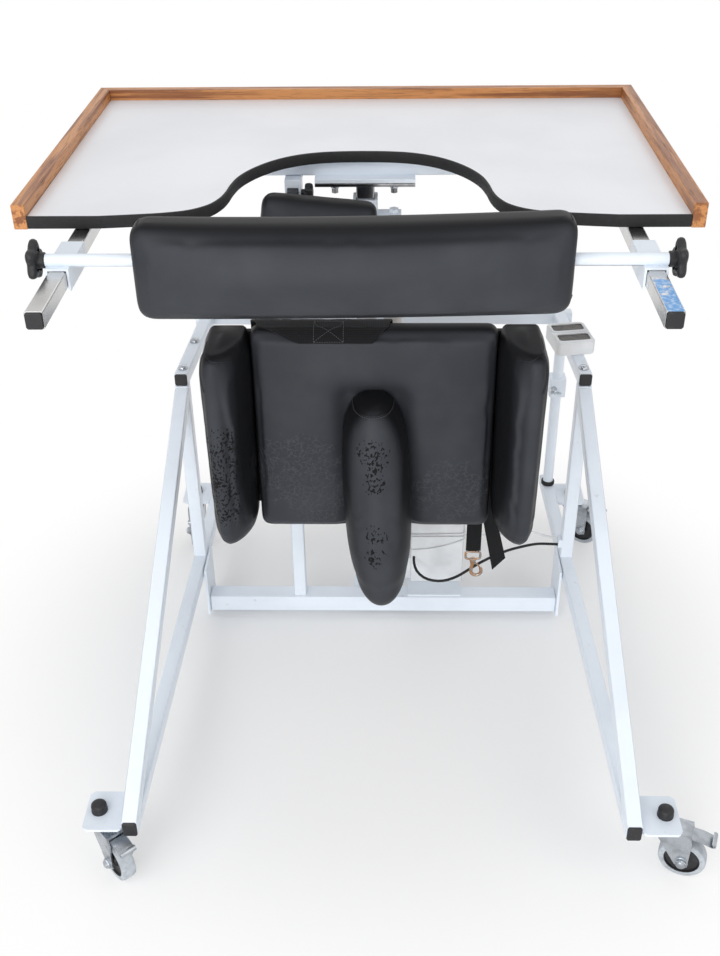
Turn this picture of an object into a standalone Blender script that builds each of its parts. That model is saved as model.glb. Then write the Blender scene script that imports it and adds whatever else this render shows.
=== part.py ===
"""Powered standing frame: a wheeled base, a lifting tray with hip and chest pads, and a knee pad.

Metres. X runs to the user's right, Y forward (the way the user faces), Z up.
"""

import math

import bmesh
import bpy
from mathutils import Matrix, Vector

for old in list(bpy.data.objects):
    bpy.data.objects.remove(old)

# Whole object, moved so that the footprint is centred on the origin
ORIGIN_X = 0.0120
ORIGIN_Y = 0.0664
GAP = 0.0003
RUN_CLEAR = 0.00005
WELD = 0.003

# Base: centre line, square tube, uprights and diagonals
BASE_X = -0.006
TUBE = 0.0254
TUBE_CORNER = 0.0025
HALF = TUBE / 2
BASE_TOP = 0.130
BASE_FRONT_Y = 0.420
UPRIGHT_X = 0.379
UPRIGHT_Y = 0.110
SPLAY = -0.026
DIAGONAL_END_Y = -0.586
DIAGONAL_END_Z = 0.116
PLUG_THICK = 0.0035
PLUG_FIT = 0.0011

# Top frame over the uprights and the two front posts
ARM_BOTTOM = 0.531
ARM_TOP = ARM_BOTTOM + TUBE
ARM_FAR_X = 0.362
BOLT_R = 0.007
BOLT_RISE = 0.005
BOLT_YS = (0.135, 0.247)
CROSSBAR_Y = 0.385
CROSSBAR_HALF = ARM_FAR_X + HALF + 0.013
DIAGONAL_HEAD_Z = ARM_BOTTOM - 0.017
DIAGONAL_RISE = (DIAGONAL_HEAD_Z - DIAGONAL_END_Z) / (UPRIGHT_Y - DIAGONAL_END_Y)
POST_X = 0.372
POST_R = 0.011
RING_R = 0.0135
RING_HIGH = 0.009
SLEEVE_Z = 0.383
SLEEVE_SIZE = 0.034
SLEEVE_HIGH = 0.043
SCREW_R = 0.004
SCREW_LONG = 0.016
CABLE_CLIP = (0.0085, 0.020, 0.018)
CABLE_CLIP_Y = 0.118
CABLE_CLIP_Z = 0.1655

# Lower crossbar, its drop plates, the short post and the actuator seat
LOWER_SIZE = 0.038
LOWER_Y = 0.071
LOWER_Z = 0.0155
LOWER_X = 0.358
LOWER_TOP = LOWER_Z + LOWER_SIZE
LOWER_MID_Y = LOWER_Y + LOWER_SIZE / 2
DROP_THICK = 0.005
DROP_NEAR = 0.062
DROP_FAR = 0.150
DROP_LOW = 0.0125
STUB_INSET = 0.004
STAY_X = -0.177
STAY_TOP = 0.420
SEAT_LEFT = 0.046
SEAT_FAR = 0.190
SEAT_THICK = 0.004

# Casters
PLATE_Z = 0.1115
PLATE_THICK = 0.005
PLATE_TOP = PLATE_Z + PLATE_THICK
PLATE_HALF = 0.039
PLATE_CORNER = 0.007
TAB_OUT = 0.004
TAB_IN = 0.008
TAB_NEAR = 0.008
STEM_X = 0.4525
REAR_STEM_Y = -0.546
REAR_PLATE_X = 0.474
FRONT_STEM_X = 0.422
FRONT_STEM_Y = 0.364
FRONT_PLATE_X = 0.449
WHEEL_R = 0.038
WHEEL_W = 0.024
TRAIL = 0.038
STEM_R = 0.006
CAP_R = 0.0115
CAP_HIGH = 0.013
AXLE_R = 0.004
NUT_R = 0.007
LEG_IN = WHEEL_W / 2 + 0.002
LEG_THICK = 0.003
LEG_OUT = LEG_IN + LEG_THICK
FORK_NEAR = 0.018
FORK_FAR = 0.046
FORK_HEAD_R = 0.023
FORK_HEAD = 0.013
FORK_TOP_LOW = 0.0955
LEG_TOP = 0.099
LEG_MID = 0.084
LEG_LOW = 0.030
LEG_TIP = 0.027
LEG_EAR = 0.010
PEDAL_PIVOT_OUT = 0.036
PEDAL_PIVOT_Z = 0.090
PEDAL_LONG = 0.046
PEDAL_HEEL = 0.004
PEDAL_LIP = 0.010
PEDAL_THICK = 0.0025

# Lift column, mast and actuator
MAST_X = -0.036
MAST_Y = 0.165
MAST = 0.03175
MAST_FOOT = 0.320
COLUMN = 0.0381
COLUMN_FOOT = 0.018
COLUMN_TOP = 0.800
COLUMN_BORE = MAST + 0.0002
COLLAR = 0.046
COLLAR_HIGH = 0.024
FOOT_HALF = 0.030
FOOT_HIGH = 0.052
HEAD_Z = 0.909
HEAD_HALF = 0.086
HEAD_DEEP = 0.036
HEAD_THICK = 0.006
HEAD_BOLTS = (-0.052, 0.050)
HEAD_BOLT_NEAR = 0.022
HEAD_BOLT_R = 0.0065
HEAD_BOLT_DROP = 0.014
ROD_X = 0.014
ROD_R = 0.010
ROD_FOOT = 0.400
ACTUATOR_R = 0.018
ACTUATOR_TOP = 0.780
CASE_LEFT = -0.014
CASE_NEAR = 0.130
CASE_FAR = 0.200
CASE_HIGH = 0.110
MOTOR_LEFT = 0.0525
MOTOR_RIGHT = 0.1605
MOTOR_NEAR = 0.1185
MOTOR_FAR = 0.2025
MOTOR_HIGH = 0.235
BRACKET_LOW = 0.820
BRACKET_HIGH = 0.880
BRACKET = 0.043
FLANGE_Z = 0.838
FLANGE_THICK = 0.012
FLANGE_OUT = 0.013
FLANGE_HALF = 0.018
LUG_R = 0.009
LUG_HIGH = 0.020

# Cables
MOTOR_CABLE_R = 0.0028
SUPPLY_CABLE_R = 0.0022

# Tray, its rails and the beam under it
TRAY_X = -0.042
TRAY_HALF = 0.5125
TRAY_NEAR = -0.155
TRAY_FAR = 0.485
BOARD_LOW = 0.947
BOARD_TOP = 0.966
RIM_RISE = 0.019
OAK_TOP = BOARD_TOP + RIM_RISE
OAK_W = 0.0205
EDGING = 0.005
EDGING_PROUD = 0.0005
RAIL_X = TRAY_HALF - 0.101
RAIL_Z = 0.934
RAIL_LOW = RAIL_Z - HALF
RAIL_NEAR = -0.447
RAIL_FAR = 0.340
BEAM_Y = 0.152
CUTOUT = (
    (0.0, 0.146), (0.040, 0.1445), (0.075, 0.139), (0.105, 0.128), (0.133, 0.110), (0.158, 0.085),
    (0.180, 0.053), (0.196, 0.017), (0.204, -0.020), (0.208, -0.054), (0.215, -0.083), (0.229, -0.110),
    (0.255, -0.131), (0.290, -0.142), (0.335, -0.149), (0.385, TRAY_NEAR),
)

# Hip pad on its bar
SADDLE_NEAR = -0.316
SADDLE_FAR = -0.215
SADDLE_THICK = 0.0035
SADDLE_SKIRT = 0.918
BAR_Y = -0.300
BAR_Z = 0.957
BAR_R = 0.009
BAR_HALF = RAIL_X + HALF + GAP + SADDLE_THICK + 0.001
KNOB_R = 0.029
KNOB_DEEP = 0.012
KNOB_EDGE = 0.003
HUB_R = 0.011
HUB_LONG = 0.009
HIP_HALF = (0.302, 0.035, 0.069)
HIP_SHIFT = (-0.003, -0.005, -0.0055)
HIP_ROUND = 0.024
HIP_CROWN = 0.010

# Chest pad
CHEST_X = -0.160
CHEST_ARM = 0.019
CHEST_ARM_Z = 0.897
CHEST_ARM_NEAR = 0.040
CHEST_ARM_FAR = 0.270
CHANNEL_WALL = 0.004
CHANNEL_NEAR = 0.022
STRIP_HALF = 0.012
STRIP_NEAR = 0.0254
STRIP_LOW = 0.830
CHEST_PAD = (-0.112, 0.000, 0.868)
CHEST_HALF = (0.093, 0.025, 0.068)
CHEST_ROUND = 0.020
CHEST_CROWN = 0.006
CHEST_TILT = math.radians(5.5)
CHEST_KNOB_R = 0.016
CHEST_KNOB_DEEP = 0.014
CHEST_KNOB_NEAR = 0.0155
CHEST_HUB_R = 0.006

# Knee pad on its board
KNEE_X = -0.020
KNEE_SLEEVE_LOW = 0.500
KNEE_SLEEVE_HIGH = 0.590
KNEE_SLEEVE = 0.050
KNEE_STUB = 0.032
KNEE_FACE_HALF = 0.070
KNEE_BOARD = 0.012
KNEE_BOARD_HALF = 0.272
KNEE_BOARD_LOW = 0.345
KNEE_BOARD_HIGH = 0.700
PANEL_HALF_X = 0.2105
PANEL_Z = 0.520
PANEL_HALF_Z = 0.202
PANEL_THICK = 0.050
PANEL_ROUND = 0.018
PANEL_CROWN = 0.008
LATERAL_X = 0.2505
LATERAL_WIDE = 0.074
LATERAL_TOP = 0.715
LATERAL_LOW = 0.313
LATERAL_DEPTH = 0.134
LATERAL_SECTION = (
    (0.00, 0.00), (0.00, 0.36), (0.03, 0.48), (0.11, 0.62), (0.24, 0.77), (0.40, 0.89), (0.56, 0.97),
    (0.70, 1.00), (0.82, 0.99), (0.92, 0.94), (0.98, 0.85), (1.00, 0.72), (1.00, 0.00),
)
LATERAL_FORM = (
    (0.000, 0.84, 0.84), (0.008, 0.93, 0.91), (0.028, 0.99, 0.97), (0.080, 1.04, 1.00), (0.200, 1.04, 1.00),
    (0.350, 1.02, 1.00), (0.500, 1.00, 1.00), (0.650, 0.98, 1.00), (0.800, 0.96, 0.98), (0.880, 0.93, 0.95),
    (0.935, 0.87, 0.89), (0.972, 0.76, 0.79), (0.993, 0.61, 0.64), (1.000, 0.44, 0.46),
)
POMMEL_X = -0.0220
POMMEL_LEAN = 0.0160
POMMEL_TOP = 0.617
POMMEL_LOW = 0.226
POMMEL_WIDE = 0.0585
POMMEL_DEEP = 0.132
POMMEL_BLUNT = 0.7
POMMEL_FORM = (
    (0.000, 0.40, 0.34), (0.010, 0.58, 0.46), (0.035, 0.74, 0.56), (0.080, 0.85, 0.62), (0.150, 0.93, 0.68),
    (0.250, 0.98, 0.75), (0.400, 1.00, 0.86), (0.550, 1.00, 0.95), (0.700, 0.97, 1.00), (0.820, 0.90, 0.99),
    (0.910, 0.79, 0.93), (0.965, 0.65, 0.83), (1.000, 0.45, 0.68),
)
KNEE_KNOB_R = 0.022
KNEE_KNOB_DEEP = 0.016
KNEE_HUB_R = 0.008
KNEE_HUB_LONG = 0.014

# Sling belt over the knee panel, and the hanging strap with its hook
WEB = 0.003
BELT_EASE = 0.002
BELT_BACK = 0.070
BELT_FOLD_LEFT = -0.233
BELT_FOLD_RIGHT = 0.012
BELT_END_LEFT = -0.146
BELT_END_RIGHT = -0.022
STRAP_THICK = 0.0022
STRAP_LEFT = 0.157
STRAP_RIGHT = 0.186
STRAP_LOW = 0.219
STRAP_TOP = 0.420
TAIL_TOP = (0.176, 0.392)
TAIL_LONG = 0.225
TAIL_WIDE = 0.025
TAIL_LEAN = math.radians(-12)
HOOK_X = 0.1715
HOOK_HALF = 0.017
HOOK_DEEP = 0.004
HOOK_EYE = 0.022
HOOK_LONG = 0.040
HOOK_R = 0.0045
HOOK_OUT = 0.016
HOOK_TIP = 0.024

# Control box
BOX_X = 0.357
BOX_Y = 0.230
BOX_HALF_X = 0.037
BOX_HALF_Y = 0.044
BOX_CORNER = 0.007
BOX_TOP = 0.5834
BOX_TURN = math.radians(9)
BUTTON_HALF_X = 0.0305
BUTTON_HALF_Y = 0.0140
BUTTON_THICK = 0.005
BUTTON_SUNK = 0.0006
BUTTON_SHIFTS = (-0.0215, 0.0215)
POCKET_DEEP = 0.009

PAINTS = {
    "white_paint": ((0.80, 0.86, 0.93), 0.35, 0.0),
    "chrome": ((0.62, 0.64, 0.67), 0.14, 1.0),
    "zinc": ((0.48, 0.50, 0.53), 0.35, 1.0),
    "black_plastic": ((0.012, 0.012, 0.014), 0.45, 0.0),
    "black_vinyl": ((0.022, 0.023, 0.026), 0.42, 0.0),
    "black_web": ((0.015, 0.015, 0.017), 0.85, 0.0),
    "laminate": ((0.82, 0.84, 0.88), 0.30, 0.0),
    "oak": ((0.50, 0.24, 0.09), 0.50, 0.0),
    "plywood": ((0.45, 0.30, 0.17), 0.65, 0.0),
    "grey_rubber": ((0.30, 0.33, 0.36), 0.60, 0.0),
    "white_plastic": ((0.78, 0.80, 0.82), 0.40, 0.0),
    "dark_window": ((0.02, 0.018, 0.016), 0.20, 0.0),
}


def make_paint(name):
    colour, rough, metal = PAINTS[name]
    paint = bpy.data.materials.new(name)
    paint.use_nodes = True
    shader = paint.node_tree.nodes["Principled BSDF"]
    shader.inputs["Base Color"].default_value = (*colour, 1.0)
    shader.inputs["Roughness"].default_value = rough
    shader.inputs["Metallic"].default_value = metal
    return paint


MATERIALS = {name: make_paint(name) for name in PAINTS}

ROOT = bpy.data.objects.new("standing_frame", None)
bpy.context.scene.collection.objects.link(ROOT)
ROOT.location = (ORIGIN_X, ORIGIN_Y, 0.0)


def loft(loops):
    """A closed solid through loops of equal length, flat at both ends."""
    bm = bmesh.new()
    rings = [[bm.verts.new(p) for p in loop] for loop in loops]
    count = len(rings[0])
    for low, high in zip(rings, rings[1:]):
        for i in range(count):
            j = (i + 1) % count
            bm.faces.new((low[i], low[j], high[j], high[i]))
    bm.faces.new(rings[0])
    bm.faces.new(rings[-1])
    bmesh.ops.recalc_face_normals(bm, faces=bm.faces)
    return bm


def box(low, high):
    loops = []
    for z in (low[2], high[2]):
        near = [(low[0], low[1], z), (high[0], low[1], z)]
        loops.append(near + [(high[0], high[1], z), (low[0], high[1], z)])
    return loft(loops)


def block(centre, size):
    low = [c - s / 2 for c, s in zip(centre, size)]
    high = [c + s / 2 for c, s in zip(centre, size)]
    return box(low, high)


def square_section(width, height, corner=TUBE_CORNER):
    """Eight points round a rectangle with chamfered corners."""
    a = width / 2
    b = height / 2
    c = corner
    right = [(a, c - b), (a, b - c)]
    left = [(-a, b - c), (-a, c - b)]
    return [right[1], (a - c, b), (c - a, b), left[0], left[1], (c - a, -b), (a - c, -b), right[0]]


def bar_z(x, y, low, high, width, depth):
    section = square_section(width, depth)
    return loft([[(x + u, y + v, z) for u, v in section] for z in (low, high)])


def bar_x(y, z, low, high, depth, height):
    section = square_section(depth, height)
    return loft([[(x, y + u, z + v) for u, v in section] for x in (low, high)])


def bar_y(x, z, low, high, width, height):
    section = square_section(width, height)
    return loft([[(x + u, y, z + v) for u, v in section] for y in (low, high)])


def rod(start, end, radius, sides=24):
    """A round bar between two points."""
    start = Vector(start)
    end = Vector(end)
    along = (end - start).normalized()
    helper = Vector((0, 0, 1)) if abs(along.z) < 0.9 else Vector((1, 0, 0))
    first = along.cross(helper).normalized()
    second = along.cross(first)
    loops = []
    for centre in (start, end):
        loop = []
        for i in range(sides):
            turn = 2 * math.pi * i / sides
            loop.append(centre + radius * (math.cos(turn) * first + math.sin(turn) * second))
        loops.append(loop)
    return loft(loops)


def turned(profile, sides):
    """A ring turned about the X axis from a closed profile of (x, radius) points."""
    bm = bmesh.new()
    rings = []
    for i in range(sides):
        turn = 2 * math.pi * i / sides
        rings.append([bm.verts.new((x, r * math.cos(turn), r * math.sin(turn))) for x, r in profile])
    count = len(profile)
    for i in range(sides):
        here = rings[i]
        after = rings[(i + 1) % sides]
        for k in range(count):
            m = (k + 1) % count
            bm.faces.new((here[k], here[m], after[m], after[k]))
    bmesh.ops.recalc_face_normals(bm, faces=bm.faces)
    return bm


def cushion(half, radius, crown, cells, draw=0.0):
    """A stuffed pad about the origin: rounded edges, a crown on its near (-Y) face, drawn-in long sides."""
    lines = []
    for h, n in zip(half, cells):
        inner = h - radius
        edge = [radius * s for s in (1.0, 0.62, 0.30)]
        flat = [inner * (2 * i / n - 1) for i in range(n + 1)]
        lines.append([-inner - e for e in edge] + flat + [inner + e for e in reversed(edge)])
    counts = [len(line) for line in lines]
    bm = bmesh.new()
    made = {}

    def corner(key):
        if key in made:
            return made[key]
        p = Vector([line[i] for line, i in zip(lines, key)])
        inner = Vector([max(min(v, h - radius), radius - h) for v, h in zip(p, half)])
        away = p - inner
        if away.length > 1e-9:
            longest = max(abs(v) for v in away)
            p = inner + away.normalized() * longest
        across = 1 - (p.x / half[0]) ** 2
        upward = 1 - (p.z / half[2]) ** 2
        p.y -= crown * max(across * upward, 0.0) * max(0.0, -p.y / half[1])
        p.z *= 1 - draw * across
        made[key] = bm.verts.new(p)
        return made[key]

    last = [c - 1 for c in counts]
    for axis in range(3):
        first, second = [a for a in range(3) if a != axis]
        for end in (0, last[axis]):
            for a in range(last[first]):
                for b in range(last[second]):
                    quad = []
                    for da, db in ((0, 0), (1, 0), (1, 1), (0, 1)):
                        index = [0, 0, 0]
                        index[axis] = end
                        index[first] = a + da
                        index[second] = b + db
                        quad.append(corner(tuple(index)))
                    bm.faces.new(quad)
    bmesh.ops.recalc_face_normals(bm, faces=bm.faces)
    return bm


def moved(bm, shift=(0, 0, 0), turn=0.0, axis="Z"):
    place = Matrix.Translation(shift) @ Matrix.Rotation(turn, 4, axis)
    bmesh.ops.transform(bm, matrix=place, verts=bm.verts)
    return bm


def shaped(bm):
    mesh = bpy.data.meshes.new("shape")
    bm.to_mesh(mesh)
    bm.free()
    thing = bpy.data.objects.new("shape", mesh)
    bpy.context.scene.collection.objects.link(thing)
    return thing


def combine(thing, other, operation):
    """Welds another shape to this one, or cuts it away."""
    step = thing.modifiers.new("step", "BOOLEAN")
    step.operation = operation
    step.object = other
    graph = bpy.context.evaluated_depsgraph_get()
    mesh = bpy.data.meshes.new_from_object(thing.evaluated_get(graph))
    thing.modifiers.clear()
    thing.data = mesh
    bpy.data.objects.remove(other)


def piece(name, shapes, paint, cuts=(), origin=(0.0, 0.0, 0.0)):
    """One named piece: shapes welded together, cuts removed, its origin set on its joint."""
    thing = shaped(shapes[0])
    for extra in shapes[1:]:
        combine(thing, shaped(extra), "UNION")
    for cut in cuts:
        combine(thing, shaped(cut), "DIFFERENCE")
    thing.name = name
    thing.data.name = name
    thing.data.transform(Matrix.Translation(-Vector(origin)))
    thing.location = origin
    thing.data.materials.clear()
    thing.data.materials.append(MATERIALS[paint])
    thing.data.shade_smooth()
    thing.data.set_sharp_from_angle(angle=math.radians(35))
    thing.parent = ROOT
    return thing


def spline_point(a, b, c, d, t):
    """A point between b and c on a smooth curve that passes a, b, c and d."""
    first = 2 * b + (c - a) * t
    second = (2 * a - 5 * b + 4 * c - d) * t**2
    third = (3 * b - a - 3 * c + d) * t**3
    return 0.5 * (first + second + third)


def smooth_path(points, steps):
    """Points along a smooth curve through the given ones."""
    pts = [Vector(p) for p in points]
    pts = [2 * pts[0] - pts[1]] + pts + [2 * pts[-1] - pts[-2]]
    out = []
    for a, b, c, d in zip(pts, pts[1:], pts[2:], pts[3:]):
        for i in range(steps):
            out.append(spline_point(a, b, c, d, i / steps))
    out.append(pts[-2])
    return out


def cord(name, route, radius, steps, paint):
    """A cable along a smooth path."""
    path = smooth_path(route, steps)
    curve = bpy.data.curves.new(name, "CURVE")
    curve.dimensions = "3D"
    curve.bevel_depth = radius
    curve.bevel_resolution = 2
    curve.use_fill_caps = True
    spline = curve.splines.new("POLY")
    spline.points.add(len(path) - 1)
    for point, p in zip(spline.points, path):
        point.co = (*p, 1.0)
    curve.materials.append(MATERIALS[paint])
    thing = bpy.data.objects.new(name, curve)
    bpy.context.scene.collection.objects.link(thing)
    thing.parent = ROOT


def lobed(radius, depth, lobes=5, sides=40):
    """A star knob head about the X axis, from x = 0 outwards."""
    loops = []
    for x, grow in ((0.0, 0.90), (KNOB_EDGE, 1.0), (depth - KNOB_EDGE, 1.0), (depth, 0.90)):
        loop = []
        for i in range(sides):
            turn = 2 * math.pi * i / sides
            r = radius * grow * (0.86 + 0.14 * math.cos(lobes * turn))
            loop.append((x, r * math.cos(turn), r * math.sin(turn)))
        loops.append(loop)
    return loft(loops)


def offset(points, distance):
    """The same line moved to its near side by a distance."""
    out = []
    for i, p in enumerate(points):
        before = points[max(i - 1, 0)]
        after = points[min(i + 1, len(points) - 1)]
        along = (after - before).normalized()
        out.append(p + distance * Vector((along.y, -along.x)))
    return out


def side_x(y):
    """Distance of a side frame from the centre line: the base widens a little towards the rear."""
    return UPRIGHT_X + SPLAY * (y - UPRIGHT_Y)


SIDES = (("left", -1), ("right", 1))
SECTION = square_section(TUBE, TUBE)
PLUG_SECTION = square_section(TUBE - 2 * PLUG_FIT, TUBE - 2 * PLUG_FIT)
SLANT = math.atan(DIAGONAL_RISE)
DIAGONAL_UNDER = DIAGONAL_END_Z - HALF / math.cos(SLANT)


def base_end(z):
    """Where the rear end of a base tube meets the underside of the diagonal."""
    return DIAGONAL_END_Y + (z - DIAGONAL_UNDER) / DIAGONAL_RISE + 2 * GAP


def diagonal_point(side, t, u, n):
    """A point at t along a diagonal, u to its outer side and n above its middle."""
    y = DIAGONAL_END_Y + t * math.cos(SLANT) - n * math.sin(SLANT)
    z = DIAGONAL_END_Z + t * math.sin(SLANT) + n * math.cos(SLANT)
    return (BASE_X + side * (side_x(y) + u), y, z)


def diagonal_cut(side, inward, u, n):
    """The same on the upright cut across the lower end of a diagonal."""
    return diagonal_point(side, (inward + n * math.sin(SLANT)) / math.cos(SLANT), u, n)


# Side frames: base tube with its upright, caster plates and cable clip, and the diagonal with its plug
PLATES = ((STEM_X, REAR_STEM_Y, REAR_PLATE_X), (FRONT_STEM_X, FRONT_STEM_Y, FRONT_PLATE_X))
for word, side in SIDES:
    loops = [[], []]
    for u, v in SECTION:
        z = BASE_TOP - HALF + v
        rear = base_end(z)
        loops[0].append((BASE_X + side * (side_x(rear) + u), rear, z))
        loops[1].append((BASE_X + side * (side_x(BASE_FRONT_Y) + u), BASE_FRONT_Y, z))
    upright_x = BASE_X + side * UPRIGHT_X
    shapes = [loft(loops)]
    shapes.append(bar_z(upright_x, UPRIGHT_Y + HALF, BASE_TOP - WELD, ARM_BOTTOM - GAP, TUBE, TUBE))
    holes = []
    for stem_x, stem_y, outer in PLATES:
        inner = side_x(stem_y - PLATE_HALF) + HALF + GAP
        xs = sorted((BASE_X + side * inner, BASE_X + side * outer))
        plate = square_section(outer - inner, 2 * PLATE_HALF, PLATE_CORNER)
        middle = (xs[0] + xs[1]) / 2
        shapes.append(loft([[(middle + u, stem_y + v, z) for u, v in plate] for z in (PLATE_Z, PLATE_TOP)]))
        xs = sorted((BASE_X + side * (inner - TAB_IN), BASE_X + side * (inner + TAB_OUT)))
        near = stem_y + TAB_NEAR
        far = stem_y + PLATE_HALF - PLATE_THICK / 5
        skin = PLATE_THICK / 5
        shapes.append(box((xs[0], near, PLATE_Z + skin), (xs[1], far, PLATE_TOP - skin)))
        stem = (BASE_X + side * stem_x, stem_y)
        through = (PLATE_Z - PLATE_THICK, PLATE_TOP + PLATE_THICK)
        holes.append(rod((*stem, through[0]), (*stem, through[1]), STEM_R + RUN_CLEAR))
    clip_face = upright_x - HALF - CABLE_CLIP[0] + WELD / 2
    if side > 0:
        shapes.append(block((clip_face + CABLE_CLIP[0] / 2, CABLE_CLIP_Y, CABLE_CLIP_Z), CABLE_CLIP))
    piece("side_frame_" + word, shapes, "white_paint", cuts=holes)

    reach = UPRIGHT_Y - GAP - DIAGONAL_END_Y
    ends = [[], []]
    for u, n in SECTION:
        ends[0].append(diagonal_cut(side, PLUG_THICK + GAP, u, n))
        ends[1].append(diagonal_cut(side, reach, u, n))
    piece("diagonal_" + word, [loft(ends)], "white_paint")
    caps = [[diagonal_cut(side, inward, u, n) for u, n in PLUG_SECTION] for inward in (0.0, PLUG_THICK)]
    piece("diagonal_plug_" + word, [loft(caps)], "black_plastic")


def arm_x(y):
    """Distance of a top arm from the centre line."""
    share = (y - UPRIGHT_Y) / (CROSSBAR_Y - UPRIGHT_Y)
    return UPRIGHT_X + (ARM_FAR_X - UPRIGHT_X) * share


# Top frame: the crossbar with an arm welded to each end, bolted down on the uprights.
# The control box lies where the right arm would have its far bolt.
shapes = [bar_x(CROSSBAR_Y, ARM_BOTTOM + HALF, BASE_X - CROSSBAR_HALF, BASE_X + CROSSBAR_HALF, TUBE, TUBE)]
arm_near = UPRIGHT_Y + PLUG_THICK + GAP
arm_far = CROSSBAR_Y - HALF + WELD
arm_section = square_section(TUBE - GAP, TUBE - GAP)
for word, side in SIDES:
    loops = []
    for y in (arm_near, arm_far):
        loops.append([(BASE_X + side * (arm_x(y) + u), y, ARM_BOTTOM + HALF + v) for u, v in arm_section])
    shapes.append(loft(loops))
    bolt_ys = BOLT_YS if side < 0 else BOLT_YS[:1]
    for y in bolt_ys:
        at = (BASE_X + side * arm_x(y), y)
        shapes.append(rod((*at, ARM_TOP - WELD), (*at, ARM_TOP + BOLT_RISE), BOLT_R, 12))
    caps = []
    for y in (UPRIGHT_Y, UPRIGHT_Y + PLUG_THICK):
        caps.append([(BASE_X + side * arm_x(y) + u, y, ARM_BOTTOM + HALF + v) for u, v in PLUG_SECTION])
    piece("arm_plug_" + word, [loft(caps)], "black_plastic")
piece("top_frame", shapes, "white_paint")

# Front posts, each with the ring at its foot and a screw-clamped sleeve
for word, side in SIDES:
    at = (BASE_X + side * POST_X, CROSSBAR_Y)
    shapes = [rod((*at, BASE_TOP + GAP), (*at, ARM_BOTTOM - GAP), POST_R)]
    shapes.append(rod((*at, BASE_TOP + GAP), (*at, BASE_TOP + RING_HIGH), RING_R))
    sleeve = (SLEEVE_Z - SLEEVE_HIGH / 2, SLEEVE_Z + SLEEVE_HIGH / 2)
    shapes.append(bar_z(*at, *sleeve, SLEEVE_SIZE, SLEEVE_SIZE))
    face = CROSSBAR_Y - SLEEVE_SIZE / 2
    screw_x = at[0] - side * SLEEVE_SIZE / 4
    shapes.append(rod((screw_x, face - SCREW_LONG, SLEEVE_Z), (screw_x, face + WELD, SLEEVE_Z), SCREW_R, 12))
    piece("front_post_" + word, shapes, "white_paint")

# Lower crossbar hung between two drop plates, with the short post and the actuator seat
lower_mid_z = LOWER_Z + LOWER_SIZE / 2
shapes = [bar_x(LOWER_MID_Y, lower_mid_z, BASE_X - LOWER_X, BASE_X + LOWER_X, LOWER_SIZE, LOWER_SIZE)]
drop_outer = side_x(DROP_FAR) - HALF - GAP
for side in (-1, 1):
    xs = sorted((BASE_X + side * (drop_outer - DROP_THICK), BASE_X + side * drop_outer))
    shapes.append(box((xs[0], DROP_NEAR, DROP_LOW), (xs[1], DROP_FAR, BASE_TOP - WELD)))
    xs = sorted((BASE_X + side * (LOWER_X - STUB_INSET), BASE_X + side * (drop_outer - DROP_THICK / 5)))
    low = (xs[0], LOWER_Y + STUB_INSET, LOWER_Z + STUB_INSET)
    shapes.append(box(low, (xs[1], LOWER_Y + LOWER_SIZE - STUB_INSET, LOWER_TOP - STUB_INSET)))
shapes.append(bar_z(STAY_X, LOWER_MID_Y, LOWER_TOP - WELD, STAY_TOP, TUBE, TUBE))
seat_top = LOWER_TOP + SEAT_THICK
seat_low = (SEAT_LEFT, LOWER_Y + STUB_INSET, LOWER_TOP - WELD)
shapes.append(box(seat_low, (MOTOR_RIGHT - STUB_INSET, SEAT_FAR, seat_top)))
piece("lower_crossbar", shapes, "white_paint")

# Lift column behind the lower crossbar, open for the mast
column = bar_z(MAST_X, MAST_Y, COLUMN_FOOT, COLUMN_TOP, COLUMN, COLUMN)
collar = bar_z(MAST_X, MAST_Y, COLUMN_TOP - COLLAR_HIGH, COLUMN_TOP + GAP, COLLAR, COLLAR)
foot_low = (MAST_X - FOOT_HALF, LOWER_Y + LOWER_SIZE + GAP, LOWER_Z + STUB_INSET)
foot = box(foot_low, (MAST_X + FOOT_HALF, MAST_Y - COLUMN / 2 + WELD, FOOT_HIGH))
bore_low = (MAST_X - COLUMN_BORE / 2, MAST_Y - COLUMN_BORE / 2, FOOT_HIGH * 2)
bore = box(bore_low, (MAST_X + COLUMN_BORE / 2, MAST_Y + COLUMN_BORE / 2, BRACKET_LOW))
piece("lift_column", [column, collar, foot], "white_paint", cuts=[bore])

# Actuator: gear case with the motor beside it, and the guide tube that stands on it
seat = seat_top + GAP
gear_case = box((CASE_LEFT, CASE_NEAR, seat), (MOTOR_RIGHT - 2 * STUB_INSET, CASE_FAR, CASE_HIGH))
motor_x = (MOTOR_LEFT + MOTOR_RIGHT) / 2
motor_y = (MOTOR_NEAR + MOTOR_FAR) / 2
motor = bar_z(motor_x, motor_y, seat, MOTOR_HIGH, MOTOR_RIGHT - MOTOR_LEFT, MOTOR_FAR - MOTOR_NEAR)
guide = rod((ROD_X, MAST_Y, CASE_HIGH - WELD), (ROD_X, MAST_Y, ACTUATOR_TOP), ACTUATOR_R)
guide_bore = rod((ROD_X, MAST_Y, ROD_FOOT - ROD_R), (ROD_X, MAST_Y, BRACKET_LOW), ROD_R + RUN_CLEAR)
piece("actuator_body", [gear_case, motor, guide], "white_plastic", cuts=[guide_bore])

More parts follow.
